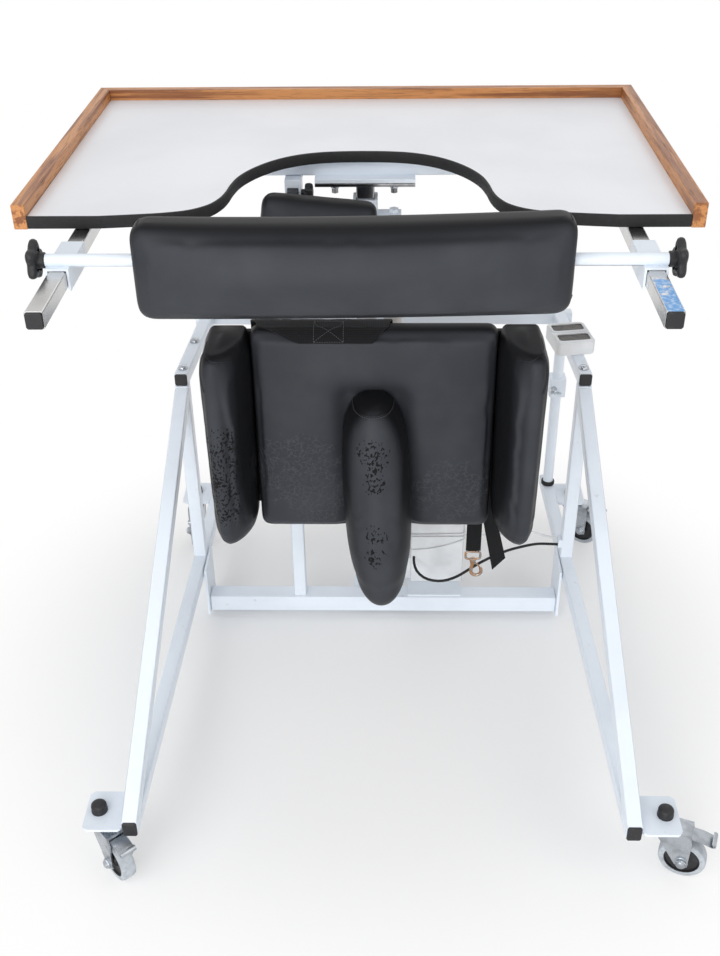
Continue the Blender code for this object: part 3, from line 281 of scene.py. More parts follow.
def made(name, bm, finishes, body, crease=38, node=None):
    """A new piece from a mesh. It moves with a body, and may stand for a node."""
    bmesh.ops.recalc_face_normals(bm, faces=bm.faces)
    mesh = bpy.data.meshes.new(name)
    bm.to_mesh(mesh)
    bm.free()
    mesh.shade_smooth()
    mesh.set_sharp_from_angle(angle=radians(crease))
    for finish in finishes:
        mesh.materials.append(finish.material)
    thing = put(name, mesh)
    fitted(thing, body, node)
    return thing


bolts = bmesh.new()
bolt_head = [(r * ARM_BOLT_R, h * ARM_BOLT_RISE) for r, h in ARM_BOLT_HEAD]
for x, y in ARM_BOLTS:
    lathe(bolts, placed(BASE_X + x, y, ARM_TOP), bolt_head)
made("arm_bolts", bolts, [zinc], "frame")


# Front posts
# Round painted tubes between the base and the crossbar. A black rubber ring seals each foot,
# and a square sleeve is clamped half way up by a zinc wing screw.
POST_X = 0.372
POST_Y = 0.385
RING = (
    (0.0112, 0.1303), (0.014, 0.1303), (0.0146, 0.1315),
    (0.0146, 0.1374), (0.0138, 0.1392), (0.0112, 0.1396),
)
SLEEVE_Z = 0.383
SLEEVE_HALF = 0.017
SCREW = (
    (0.0048, 0.0), (0.0062, 0.0015), (0.0062, 0.0045), (0.005, 0.006),
    (0.0046, 0.0165), (0.003, 0.018), (0.0, 0.0183),
)
WING_ROOT = 0.0135
WING_OUT = 0.0075
WING_LEAN = radians(52)
WING_HALF = (0.0052, 0.0016, 0.0095)
RUBBER = (0.01, 0.01, 0.011)
RUBBER_GREY = (0.034, 0.034, 0.036)
dress(white, TUBE_EDGE, "front_post_left", "front_post_right")
rubber = Finish("black_rubber", Specular_IOR_Level=0.35)
rubber.shade({
    "Base Color": rubber.mixed(0.5 * rubber.grain(60.0, 5.0), RUBBER, RUBBER_GREY),
    "Roughness": 0.58 + 0.2 * rubber.grain(200.0),
    "Normal": rubber.bumped(rubber.grain(900.0), 0.0002, 0.5),
})


def bead(bm, place, halves, around, rows):
    """Adds an egg-shaped bead with the given half sizes."""
    shape = bmesh.ops.create_uvsphere(bm, u_segments=around, v_segments=rows, radius=1.0)
    bmesh.ops.transform(bm, matrix=place @ Matrix.Diagonal((*halves, 1.0)), verts=shape["verts"])


rings = bmesh.new()
screws = bmesh.new()
for side in (-1, 1):
    foot = DATUM + Vector((BASE_X + side * POST_X, POST_Y, 0.0))
    lathe(rings, Matrix.Translation(foot), RING + RING[:1])
    head = foot + Vector((-side * SLEEVE_HALF / 2, -SLEEVE_HALF, SLEEVE_Z))
    facing = Matrix.Translation(head) @ Matrix.Rotation(radians(90), 4, "X")
    lathe(screws, facing, SCREW, 20)
    for tip in (-1, 1):
        root = facing @ Matrix.Translation((0.0, 0.0, WING_ROOT)) @ Matrix.Rotation(tip * WING_LEAN, 4, "Y")
        bead(screws, root @ Matrix.Translation((0.0, 0.0, WING_OUT)), WING_HALF, 14, 8)
made("post_rings", rings, [rubber], "frame")
made("sleeve_screws", screws, [zinc], "frame")


# Lower crossbar
# A heavier square tube welded between two drop plates, with the short post that stands on it
# and the seat plate for the actuator. It is coated with the rest of the frame.
dress(white, TUBE_EDGE, "lower_crossbar")


# Casters
# Pressed and zinc plated swivel forks on stems through the frame's plates, under black domed caps.
# Grey rubber tyres are moulded on black hubs, and a pressed pedal with a rolled lip locks each one.
WHEEL_R = 0.038
WHEEL_HALF = 0.012
TRAIL = 0.038
PEDAL_OUT = 0.036
PEDAL_Z = 0.09
PEDAL_HALF = 0.0134
PEDAL_SHEET = 0.0016
PEDAL_LINE = ((0.004, 0.0022), (-0.01, 0.0018), (-0.026, 0.0006), (-0.036, -0.0022), (-0.042, -0.0042))
LIP_R = 0.0048
LIP_AT = (-0.044, 0.0006)
LIP_TURNS = (0.0, 0.6, 1.2, 1.8, 2.4, 3.0, 3.6)
FORK_EDGE = 0.0007
NUT_OUT = 0.017
TYRE_GREY = (0.48, 0.52, 0.56)
TYRE_DIRTY = (0.34, 0.37, 0.4)
CAP = (
    (0.0118, 0.1167), (0.013, 0.1168), (0.0132, 0.12), (0.0127, 0.121), (0.0126, 0.1285),
    (0.0121, 0.1305), (0.0105, 0.1322), (0.007, 0.1334), (0.0, 0.1338),
)
CASTERS = (
    ("rear_left", BASE_X - 0.4525, -0.546, -48.0), ("rear_right", BASE_X + 0.4525, -0.546, -20.0),
    ("front_left", BASE_X - 0.422, 0.364, -88.0), ("front_right", BASE_X + 0.422, 0.364, -30.0),
)
TYRE = (
    (0.0285, 0.98), (0.03, 1.0), (0.0345, 1.0), (0.0366, 0.9), (0.0377, 0.66), (0.038, 0.25),
    (0.038, -0.25), (0.0377, -0.66), (0.0366, -0.9), (0.0345, -1.0), (0.03, -1.0), (0.0285, -0.98),
)
HUB = (
    (0.0285, 0.98), (0.0272, 0.99), (0.0262, 0.72), (0.017, 0.62),
    (0.012, 0.66), (0.0105, 0.98), (0.0042, 1.0),
)
WASHER = ((0.0, -0.001), (0.0104, -0.001), (0.0108, 0.0004), (0.01, 0.0012), (0.0, 0.0012))
NUT = ((0.0, 0.0008), (0.0094, 0.0008), (0.0094, 0.004), (0.0084, 0.0054), (0.0, 0.0054))
NUT_DOME = (
    (0.0, 0.0048), (0.0078, 0.0048), (0.0074, 0.0066),
    (0.0058, 0.0084), (0.003, 0.0094), (0.0, 0.0097),
)
tyre_grey = Finish("grey_tyre", Specular_IOR_Level=0.4)
dust = tyre_grey.grain(85.0, 6.0)
tyre_grey.shade({
    "Base Color": tyre_grey.mixed(tyre_grey.fade(dust, 0.35, 0.75), TYRE_GREY, TYRE_DIRTY),
    "Roughness": 0.48 + 0.25 * dust,
    "Normal": tyre_grey.bumped(tyre_grey.grain(700.0, 3.0), 0.0002, 0.6),
})
for word, x, y, heading in CASTERS:
    turn = radians(heading) + pi / 2
    dress(zinc, FORK_EDGE, "fork_" + word)
    stem = DATUM + Vector((x, y, 0.0))
    cap = bmesh.new()
    lathe(cap, Matrix.Translation(stem), CAP)
    made("stem_cap_" + word, cap, [black], "caster_" + word)
    along = Vector((sin(turn), -cos(turn), 0.0))
    axle = Matrix.Translation(stem + along * TRAIL + Vector((0.0, 0.0, WHEEL_R)))
    axle = axle @ Matrix.Rotation(turn, 4, "Z") @ Matrix.Rotation(radians(90), 4, "Y")
    wheel = bmesh.new()
    lathe(wheel, axle, [(r, s * WHEEL_HALF) for r, s in TYRE], 64, 0)
    lathe(wheel, axle, [(r, s * WHEEL_HALF) for r, s in HUB], 64, 1)
    lathe(wheel, axle, [(r, -s * WHEEL_HALF) for r, s in HUB], 64, 1)
    bmesh.ops.remove_doubles(wheel, verts=wheel.verts, dist=0.00002)
    finishes = [tyre_grey, black]
    made("rolling_" + word, wheel, finishes, "roll_" + word, 30, "wheel_" + word)
    nuts = bmesh.new()
    for side in (-1, 1):
        nut = axle @ Matrix.Translation((0.0, 0.0, side * NUT_OUT)) @ Matrix.Diagonal((1.0, 1.0, side, 1.0))
        lathe(nuts, nut, WASHER, 32)
        lathe(nuts, nut, NUT, 6)
        lathe(nuts, nut, NUT_DOME, 24)
    made("axle_nuts_" + word, nuts, [zinc], "caster_" + word, 25)
    pivot = Matrix.Translation(stem + along * PEDAL_OUT + Vector((0.0, 0.0, PEDAL_Z)))
    pivot = pivot @ Matrix.Rotation(turn, 4, "Z")
    line = [Vector(p) for p in PEDAL_LINE]
    for turned in LIP_TURNS:
        line.append(Vector(LIP_AT) - LIP_R * Vector((sin(turned), cos(turned))))
    pedal = bmesh.new()
    sheet = []
    for i, lower in enumerate(line):
        step = tangent(line, i)
        upper = lower + PEDAL_SHEET * Vector((step.y, -step.x))
        rows = [(u, *lower) for u in (-PEDAL_HALF, PEDAL_HALF)]
        rows += [(u, *upper) for u in (PEDAL_HALF, -PEDAL_HALF)]
        sheet.append([pedal.verts.new(pivot @ Vector(p)) for p in rows])
    bridge(pedal, sheet)
    made("brake_pedal_" + word, pedal, [zinc], "brake_" + word, node="pedal_" + word)


# Lift column and actuator
# A square steel column stands behind the crossbar, with a white electric actuator beside it:
# gear case, motor housing in moulded plastic and a round guide tube. Spare cable is wound on the motor.
CASE_EDGE = 0.003
CASE_WHITE = (0.8, 0.82, 0.84)
CASE_AGED = (0.66, 0.68, 0.7)
MOTOR_X = (0.0525, 0.1605)
MOTOR_Y = (0.1185, 0.2025)
WRAP_R = 0.002
WRAP_OUT = 0.0023
WRAP_BEND_X = 0.004
WRAP_BEND_Y = 0.006
WRAPS = ((0.176, 0.0), (0.181, 0.003), (0.142, 0.026))
dress(white, TUBE_EDGE, "lift_column")
moulded = Finish("white_moulding", Specular_IOR_Level=0.5)
age = moulded.grain(14.0, 4.0)
moulded.shade({
    "Base Color": moulded.mixed(moulded.fade(age, 0.4, 0.72), CASE_WHITE, CASE_AGED),
    "Roughness": 0.34 + 0.18 * moulded.grain(110.0),
    "Normal": moulded.bumped(moulded.grain(1100.0, 2.0), 0.00018, 0.5),
})
dress(moulded, CASE_EDGE, "actuator_body")


def sweep(bm, path, radius, sides=10, closed=False):
    """Adds a round tube along a path."""
    count = len(path)
    rings = []
    up = None
    for i, p in enumerate(path):
        before = path[i - 1] if closed or i else p
        after = path[(i + 1) % count] if closed or i < count - 1 else p
        along = (after - before).normalized()
        if up is None:
            up = Vector((0, 0, 1)) if abs(along.z) < 0.8 else Vector((1, 0, 0))
        across = along.cross(up).normalized()
        up = across.cross(along).normalized()
        turns = [2 * pi * k / sides for k in range(sides)]
        rings.append([bm.verts.new(p + radius * (cos(t) * across + sin(t) * up)) for t in turns])
    bridge(bm, rings + rings[:1] if closed else rings, not closed)


wraps = bmesh.new()
left = MOTOR_X[0] - WRAP_OUT
right = MOTOR_X[1] + WRAP_OUT
near = MOTOR_Y[0] - WRAP_OUT
far = MOTOR_Y[1] + WRAP_OUT
straight = right - left - 2 * WRAP_BEND_X
shares = [i / 11 for i in range(12)]
for z, lean in WRAPS:
    loop = [(left + WRAP_BEND_X + straight * s, near, z + lean * s * s) for s in shares]
    loop += [(right, near + WRAP_BEND_Y, z + lean), (right, far - WRAP_BEND_Y, z + lean)]
    loop += [(right - WRAP_BEND_X - straight * s, far, z + lean * (1 - s)) for s in shares]
    loop += [(left, far - WRAP_BEND_Y, z), (left, near + WRAP_BEND_Y, z)]
    sweep(wraps, [DATUM + Vector(p) for p in loop], WRAP_R, 10, True)
made("motor_wraps", wraps, [moulded], "frame")


# Cables
# A black sheathed motor cable and a thinner white supply cable leave the motor, hang in a low curve
# and go into the clip on the right upright.
MOTOR_CABLE_D = 0.0056
SUPPLY_CABLE_D = 0.0044
CLIP_X = 0.3527
MOTOR_ROUTE = (
    (0.059, 0.1179, 0.123), (0.0592, 0.0985, 0.1215), (0.0645, 0.08, 0.116), (0.078, 0.0675, 0.1095),
    (0.097, 0.0615, 0.106), (0.1175, 0.0595, 0.107), (0.137, 0.0595, 0.1135), (0.1545, 0.0602, 0.124),
    (0.171, 0.0614, 0.1365), (0.1885, 0.0632, 0.149), (0.2075, 0.0665, 0.159), (0.228, 0.072, 0.1665),
    (0.249, 0.079, 0.171), (0.27, 0.0865, 0.1725), (0.29, 0.095, 0.1715), (0.309, 0.104, 0.1685),
    (CLIP_X - 0.024, 0.111, 0.1635), (CLIP_X, 0.113, 0.161),
)
SUPPLY_ROUTE = (
    (0.1611, 0.15, 0.157), (0.185, 0.1485, 0.158), (0.209, 0.1455, 0.161), (0.233, 0.1415, 0.166),
    (0.257, 0.137, 0.1715), (0.281, 0.1325, 0.1765), (0.305, 0.1285, 0.1795),
    (CLIP_X - 0.024, 0.124, 0.174), (CLIP_X, 0.122, 0.17),
)


def smooth_path(points, steps):
    """Points along a smooth curve through the given ones."""
    pts = [Vector(p) for p in points]
    pts = [2 * pts[0] - pts[1]] + pts + [2 * pts[-1] - pts[-2]]
    out = []
    for a, b, c, d in zip(pts, pts[1:], pts[2:], pts[3:]):
        for i in range(steps):
            t = i / steps
            bend = (2 * a - 5 * b + 4 * c - d) * t**2 + (3 * b - a - 3 * c + d) * t**3
            out.append(0.5 * (2 * b + (c - a) * t + bend))
    out.append(pts[-2])
    return out


def cable(name, route, steps, diameter, finish, node):
    """A cable of round section along its route, from the motor to the clip."""
    path = [DATUM + p for p in smooth_path(route, steps)]
    line = bpy.data.curves.new(name, "CURVE")
    line.dimensions = "3D"
    line.bevel_depth = diameter / 2
    line.bevel_resolution = 4
    line.use_fill_caps = True
    spline = line.splines.new("POLY")
    spline.points.add(len(path) - 1)
    for point, p in zip(spline.points, path):
        point.co = (*p, 1.0)
    line.materials.append(finish.material)
    thing = put(name, line)
    fitted(thing, "frame", node)
    long = sum((b - a).length for a, b in zip(path, path[1:]))


cable("motor_lead", MOTOR_ROUTE, 2, MOTOR_CABLE_D, rubber, "motor_cable")
cable("supply_lead", SUPPLY_ROUTE, 4, SUPPLY_CABLE_D, moulded, "supply_cable")


# Control box
# A white moulded box screwed to the right arm, with two raised frames round dark press bars.
# The bars are smoked plastic, dulled by touch.
BOX_EDGE = 0.004
BOX_AT = Vector((0.357, 0.23, 0.5834))
BOX_TURN = radians(9)
PRESS_EDGE = 0.0008
PRESS_ROWS = (-0.0215, 0.0215)
SMOKE = (0.052, 0.043, 0.036)
SMOKE_DARK = (0.022, 0.019, 0.017)
LIPS = ((0.0338, 0.0174, 0.0, 0.0024), (0.0316, 0.0152, 0.0008, 0.0011))
LIP_POWER = 0.34
dress(moulded, BOX_EDGE, "control_box")
smoked = Finish("smoked_bar", Specular_IOR_Level=0.6)
touched = smoked.grain(120.0, 5.0)
smoked.shade({
    "Base Color": smoked.mixed(smoked.fade(touched, 0.4, 0.65), SMOKE, SMOKE_DARK),
    "Roughness": 0.28 + 0.25 * touched,
    "Normal": smoked.bumped(smoked.grain(500.0), 0.00015, 0.5),
})
dress(smoked, PRESS_EDGE, "button_up", "button_down")


def squared_oval(count, power):
    """Points round an oval of half size 1. The smaller the power, the squarer it is."""
    points = []
    for i in range(count):
        t = 2 * pi * (i + 0.5) / count
        c = cos(t)
        s = sin(t)
        points.append((copysign(abs(c) ** power, c), copysign(abs(s) ** power, s)))
    return points


lying = Matrix.Translation(DATUM + BOX_AT) @ Matrix.Rotation(BOX_TURN, 4, "Z")
lips = bmesh.new()
for row in PRESS_ROWS:
    for across, down, rise, thick in LIPS:
        oval = squared_oval(56, LIP_POWER)
        sweep(lips, [lying @ Vector((across * u, row + down * v, rise)) for u, v in oval], thick, 10, True)
made("window_lips", lips, [moulded], "frame")


# Mast and lift bracket
# A chromed square mast slides in the column, with painted dark reflections in long streaks, and carries the
# tray on its head plate.
# A painted bracket on it takes the push of the actuator rod. The plain chrome is for rod and rails,
# with a film on the right rail alone, whose edges are in the frame's own axes.
CHROME = (0.6, 0.595, 0.59)
CHROME_DULL = (0.4, 0.392, 0.385)
CHROME_EDGE = 0.0008
FILM_LEFT = 0.3686
FILM_LOW = 0.9458
FILM_NEAR = -0.3772
FILM_FAR = -0.266
FILM_WORN_FROM = -0.27
FILM_SOFT = 0.0004
FILM_FRAYED = 0.014
FILM_BLUE = (0.15, 0.37, 0.72)
FILM_PALE = (0.42, 0.6, 0.86)
MAST_REFLECTION_PALE = (0.3, 0.3, 0.31)
MAST_REFLECTION_DARK = (0.1, 0.1, 0.105)
chrome = Finish("chrome_plate", Metallic=1.0)
haze = chrome.grain(16.0, 5.0)
hair = chrome.grain(90.0, 3.0, (9.0, 0.35, 9.0))
row_x = chrome.axis("X")
row_y = chrome.axis("Y")
row_z = chrome.axis("Z")
patch_wear = chrome.fade(chrome.grain(75.0, 6.0) + 1.7 * (FILM_WORN_FROM - row_y), 0.44, 0.54)
film_blue = chrome.mixed(chrome.fade(chrome.grain(150.0, 5.0), 0.45, 0.65), FILM_BLUE, FILM_PALE)
film = patch_wear * chrome.fade(0.0 - row_y, -FILM_FAR, -FILM_FAR + FILM_FRAYED)
for value, start in ((row_x, FILM_LEFT), (row_y, FILM_NEAR), (row_z, FILM_LOW)):
    film = film * chrome.fade(value, start, start + FILM_SOFT)
chrome.shade({
    "Base Color": chrome.mixed(film, chrome.mixed(0.7 * haze, CHROME, CHROME_DULL), film_blue),
    "Roughness": 0.1 + 0.16 * haze + 0.06 * hair + 0.3 * film,
    "Metallic": 1.0 - film,
    "Normal": chrome.bumped(hair, 0.0001, 0.25),
})
dress(chrome, CHROME_EDGE, "actuator_rod")
dress(white, TUBE_EDGE, "lift_bracket")
mast_chrome = Finish("mast_chrome", Metallic=1.0)
# Painted reflection: the mast's chrome colour is darkened in long upright streaks.
reflection_streaks = mast_chrome.fade(mast_chrome.grain(24.0, 5.0, (1.0, 1.0, 0.25)), 0.4, 0.68)
mast_chrome.shade({
    "Base Color": mast_chrome.mixed(reflection_streaks, MAST_REFLECTION_PALE, MAST_REFLECTION_DARK),
    "Roughness": 0.14 + 0.16 * reflection_streaks,
    "Normal": mast_chrome.bumped(mast_chrome.grain(90.0, 3.0, (9.0, 9.0, 0.35)), 0.0001, 0.25),
})
dress(mast_chrome, CHROME_EDGE, "lift_mast")


# Tray beam and rails
# A painted square beam bolts to the mast's head plate. Two chromed square rails are fixed to its ends
# and carry the tray and the hip bar. A worn plain film is left on top of the right one.
dress(white, TUBE_EDGE, "tray_beam")
dress(chrome, CHROME_EDGE, "rail_left", "rail_right")
HEAD_BOLTS = (-0.088, 0.014)
HEAD_BOLT_Y = 0.143
HEAD_PLATE_LOW = 0.909
BOLT_END = (
    (0.0, -0.015), (0.0036, -0.0148), (0.0042, -0.0136), (0.0042, -0.0062),
    (0.0064, -0.006), (0.0078, -0.004), (0.0078, 0.0002),
)
studs = bmesh.new()
for x in HEAD_BOLTS:
    lathe(studs, placed(x, HEAD_BOLT_Y, HEAD_PLATE_LOW), BOLT_END, 24)
made("head_bolt_nuts", studs, [zinc], "lift", 30)


# Tray
# A board faced with white laminate, cut out for the user's body. Black rubber T moulding is pressed
# into its near edge, and an oak strip is glued and pinned to the other three sides, mitred at the corners.
TRAY_X = -0.042
TRAY_HALF = 0.5125
TRAY_NEAR = -0.155
TRAY_FAR = 0.485
OAK_W = 0.0205
BOARD_LOW = 0.947
BOARD_TOP = 0.966
CUTOUT = (
    (0.0, 0.146), (0.04, 0.1445), (0.075, 0.139), (0.105, 0.128), (0.133, 0.11), (0.158, 0.085),
    (0.18, 0.053), (0.196, 0.017), (0.204, -0.02), (0.208, -0.054), (0.215, -0.083), (0.229, -0.11),
    (0.255, -0.131), (0.29, -0.142), (0.335, -0.149), (0.385, TRAY_NEAR),
)
BOARD_EDGE = 0.0006
LAMINATE = (0.83, 0.845, 0.885)
LAMINATE_DULL = (0.77, 0.785, 0.825)
EDGING_GAP = 0.0003
EDGING_FLAT = 0.0018
EDGING_ROUND = 0.0037
EDGING_MIDDLE = 0.00985
EDGING_HALF = 0.0098
OAK = (0.58, 0.245, 0.075)
OAK_DARK = (0.25, 0.078, 0.018)
OAK_PORE = (0.12, 0.036, 0.01)
OAK_PALE = (0.6, 0.275, 0.095)
OAK_JOINT = (0.1, 0.035, 0.012)
OAK_EDGE = 0.0012
laminate = Finish("white_laminate", Coat_Weight=0.1, Coat_Roughness=0.15)
wiped = laminate.grain(5.0, 5.0)
marks = laminate.fade(laminate.grain(60.0, 6.0, (0.25, 1.0, 1.0)), 0.66, 0.8)
dull = 0.7 * laminate.fade(wiped, 0.35, 0.7) + 0.3 * marks
laminate.shade({
    "Base Color": laminate.mixed(dull, LAMINATE, LAMINATE_DULL),
    "Roughness": 0.3 + 0.14 * wiped + 0.12 * marks,
    "Normal": laminate.bumped(laminate.grain(900.0, 2.0), 0.0001, 0.4),
})
dress(laminate, BOARD_EDGE, "tray_board")
half_edge = smooth_path([Vector((x, y, 0.0)) for x, y in CUTOUT], 6)
half_edge.append(Vector((TRAY_HALF - OAK_W - EDGING_GAP, TRAY_NEAR, 0.0)))
edge = [Vector((-p.x, p.y, 0.0)) for p in reversed(half_edge[1:])] + half_edge
section = [(EDGING_GAP, BOARD_LOW + 0.0002)]
for i in range(9):
    t = pi * (i / 8 - 0.5)
    height = BOARD_LOW + EDGING_MIDDLE + EDGING_HALF * sin(t)
    section.append((EDGING_FLAT + EDGING_ROUND * cos(t) ** 0.7, height))
section.append((EDGING_GAP, BOARD_TOP + EDGING_GAP))
moulding = bmesh.new()
loops = []
for i, p in enumerate(edge):
    along = tangent(edge, i)
    out = Vector((along.y, -along.x, 0.0))
    spots = [DATUM + Vector((TRAY_X, 0.0, z)) + p + n * out for n, z in section]
    loops.append([moulding.verts.new(s) for s in spots])
bridge(moulding, loops)
made("edge_moulding", moulding, [rubber], "lift", node="tray_edging")

oak = Finish("oak_strip", Coat_Weight=0.12, Coat_Roughness=0.3)
from_left = abs(oak.axis("X") - (DATUM.x + TRAY_X))
to_far = (DATUM.y + TRAY_FAR) - oak.axis("Y")
to_side = TRAY_HALF - from_left
on_side = to_side < to_far
mitre = 1.0 - oak.fade(abs(to_side - to_far), 0.0002, 0.0008)
mitre = mitre * oak.fade(to_far, OAK_W + 0.002, OAK_W + 0.001)


def strip_grain(scale, detail, drawn):
    """Grain drawn out along the strip that it is in."""
    side = oak.grain(scale, detail, (1.0, drawn, 1.0))
    far = oak.grain(scale, detail, (drawn, 1.0, 1.0))
    return far + on_side * (side - far)


figure = oak.fade(strip_grain(105.0, 4.0, 0.035), 0.44, 0.6)
pores = oak.fade(strip_grain(900.0, 2.0, 0.03), 0.58, 0.66)
timber = oak.mixed(figure, OAK, OAK_DARK)
timber = oak.mixed(0.65 * pores, timber, OAK_PORE)
timber = oak.mixed(0.25 * oak.fade(oak.grain(6.0), 0.4, 0.7), timber, OAK_PALE)
oak.shade({
    "Base Color": oak.mixed(0.8 * mitre, timber, OAK_JOINT),
    "Roughness": 0.42 + 0.2 * pores,
    "Normal": oak.bumped(0.0 - pores - 0.4 * figure - 2.0 * mitre, 0.0003, 0.6),
})
dress(oak, OAK_EDGE, "oak_rim")


# Hip bar and knobs
# A painted round bar is welded to two folded saddles that ride on the rails. Black five-lobe knobs
# on its ends clamp the saddles.
BAR_Y = -0.3
BAR_Z = 0.957
BAR_HALF = 0.4293
SADDLE_EDGE = 0.0008
KNOB_SKIN = (
    (0.0, 0.62), (0.03, 0.84), (0.14, 0.95), (0.35, 1.0), (0.62, 1.0), (0.84, 0.95),
    (0.97, 0.84), (1.02, 0.62), (1.0, 0.42), (0.9, 0.38), (0.88, 0.0),
)
LOBE_DEPTH = 0.14
LOBE_FROM = 0.5
HIP_KNOB = {"radius": 0.0292, "depth": 0.0125, "hub_r": 0.0112, "hub_long": 0.009}
dress(white, SADDLE_EDGE, "hip_bar")


def star_knob(name, node, body, place, side, radius, depth, hub_r, hub_long):
    """A moulded five-lobe knob about the X axis, with its hub towards the piece that it clamps."""
    knob = bmesh.new()
    turns = [2 * pi * i / 60 for i in range(60)]
    rings = []
    for share, grow in KNOB_SKIN:
        lobe = LOBE_DEPTH if grow > LOBE_FROM else 0.0
        out = side * (hub_long + depth * share)
        ring = []
        for t in turns:
            r = radius * grow * (1 - lobe + lobe * cos(5 * t))
            ring.append(knob.verts.new(place @ Vector((out, r * cos(t), r * sin(t)))))
        rings.append(ring)
    bridge(knob, rings, False)
    shank = place @ Matrix.Rotation(radians(90) * side, 4, "Y")
    inner = hub_long + depth * 0.12
    hub = [(0.0, 0.0), (hub_r * 0.92, 0.0), (hub_r, 0.0008), (hub_r, hub_long)]
    lathe(knob, shank, hub + [(hub_r * 1.15, inner), (0.0, inner)])
    bmesh.ops.remove_doubles(knob, verts=knob.verts, dist=SAME_SPOT)
    made(name, knob, [black], body, 32, node)


for word, side in (("left", -1), ("right", 1)):
    bar_end = placed(TRAY_X + side * BAR_HALF, BAR_Y, BAR_Z)
    star_knob("clamp_knob_" + word, "hip_knob_" + word, "hip_clamp_" + word, bar_end, side, **HIP_KNOB)


# Hip pad
# A foam block on the bar, covered in black upholstery vinyl that is sewn into a box with soft corners.
# It is bowed round the user's back. Its vinyl has painted shade on the faces that turn sideways, up or
# down, so they are darker than the faces towards the front and back.
VINYL = (0.042, 0.045, 0.053)
VINYL_LIGHT = (0.052, 0.0555, 0.064)
VINYL_PAINTED_SHADE = (0.0085, 0.0088, 0.0102)
VINYL_WORN = (0.0085, 0.0086, 0.0092)
VINYL_PALE = (0.07, 0.074, 0.083)
WORN_SPOTS = (
    ((-0.292, -0.125, 0.545), 0.06), ((-0.288, -0.13, 0.485), 0.062), ((-0.284, -0.133, 0.42), 0.055),
    ((-0.022, -0.152, 0.54), 0.04), ((-0.018, -0.164, 0.495), 0.03), ((-0.016, -0.184, 0.4), 0.026),
    ((-0.014, -0.189, 0.355), 0.03),
)
CRACKED = (
    ((-0.153, -0.057, 0.45), 0.115), ((-0.12, -0.057, 0.385), 0.07), ((0.118, -0.057, 0.41), 0.095),
)
INSET = 0.0015
SWELL = 0.004
COVER_GRID = 0.005
COVER_FRAMES = 20
COVER = {
    "quality": 5, "mass": 0.25, "tension_stiffness": 12, "compression_stiffness": 12, "shear_stiffness": 4,
    "bending_stiffness": 0.4, "use_pressure": True, "uniform_pressure_force": 4.0,
}
BAR_GRIP = 0.014
HIP_BOW = 0.009
HIP_TILT = 0.014
HIP_HALF = 0.302
WELT_R = 0.0009
HIP_SEAMS = (
    ((-0.296, -0.318, 0.062), (-0.298, -0.3, 0.066), (-0.298, -0.28, 0.062)),
    ((0.29, -0.318, 0.062), (0.292, -0.3, 0.066), (0.292, -0.28, 0.062)),
    ((0.297, -0.318, -0.045), (0.295, -0.31, -0.058), (0.284, -0.306, -0.064)),
)
vinyl = Finish("black_vinyl", Specular_IOR_Level=0.1)
pebble = {"Vector": vinyl.place, "Scale": 520.0, "Smoothness": 0.4}
leather = vinyl.node("ShaderNodeTexVoronoi", {"feature": "SMOOTH_F1"}, pebble, output="Distance")
broad = vinyl.grain(11.0, 3.0)


def near_any(spots):
    """How near a place is to one of the given spots, from 0 to 1."""
    total = 0.0
    for centre, reach in spots:
        total = total + (1.0 - vinyl.fade(vinyl.away(DATUM + Vector(centre)), reach * 0.35, reach))
    return total


worn = near_any(WORN_SPOTS)
patchy = 0.3 * vinyl.grain(48.0, 3.0) + 0.1 * vinyl.fade(worn, 0.0, 1.0)
flakes = vinyl.fade(vinyl.grain(230.0, 4.0, (1.0, 1.0, 0.75)) + patchy, 0.79, 0.802)
flakes = flakes * vinyl.fade(worn, 0.05, 0.25)
crazed = near_any(CRACKED)
swirl = {"Vector": vinyl.place, "Scale": 85.0, "Detail": 4.0}
drift = vinyl.node("ShaderNodeTexNoise", {}, swirl, output="Color")
drift = vinyl.node("ShaderNodeVectorMath", {"operation": "SCALE"}, {0: drift, "Scale": 0.016})
bent = vinyl.node("ShaderNodeVectorMath", {"operation": "ADD"}, {0: vinyl.place, 1: drift})
web_cells = {"Vector": bent, "Scale": 105.0, "Randomness": 1.0}
cells = vinyl.node("ShaderNodeTexVoronoi", {"feature": "DISTANCE_TO_EDGE"}, web_cells, output="Distance")
lines = 1.0 - vinyl.fade(cells + 0.14 * vinyl.grain(330.0, 4.0), 0.085, 0.15)
cracks = lines * vinyl.fade(vinyl.grain(60.0, 5.0) + 0.12 * vinyl.fade(crazed, 0.0, 1.0), 0.5, 0.6)
cracks = cracks * vinyl.fade(crazed, 0.08, 0.45)
# Painted shade: vinyl faces that turn sideways, up or down are mixed towards a deeper black by the way they
# face.
facing = vinyl.node("ShaderNodeNewGeometry", output="Normal")
painted_facing_shade = vinyl.fade(abs(vinyl.node("ShaderNodeSeparateXYZ", {}, {0: facing}, output="Y")), 0.36, 1.0)
skin = vinyl.mixed(vinyl.fade(broad, 0.35, 0.75), VINYL, VINYL_LIGHT)
skin = vinyl.mixed(painted_facing_shade, VINYL_PAINTED_SHADE, skin)
skin = vinyl.mixed(0.9 * cracks, skin, VINYL_PALE)
vinyl.shade({
    "Base Color": vinyl.mixed(flakes, skin, VINYL_WORN),
    "Roughness": 0.36 + 0.08 * broad + 0.25 * flakes + 0.12 * cracks,
    "Normal": vinyl.bumped(0.5 * leather - 1.6 * flakes - 0.8 * cracks, 0.00028, 0.55),
})


def settled(thing):
    """Works a piece's modifiers into its mesh."""
    graph = bpy.context.evaluated_depsgraph_get()
    mesh = bpy.data.meshes.new_from_object(thing.evaluated_get(graph))
    thing.modifiers.clear()
    thing.data = mesh


def eased(thing, times):
    """Smooths a cover a little."""
    work(thing, "SMOOTH", factor=0.5, iterations=times)
    settled(thing)


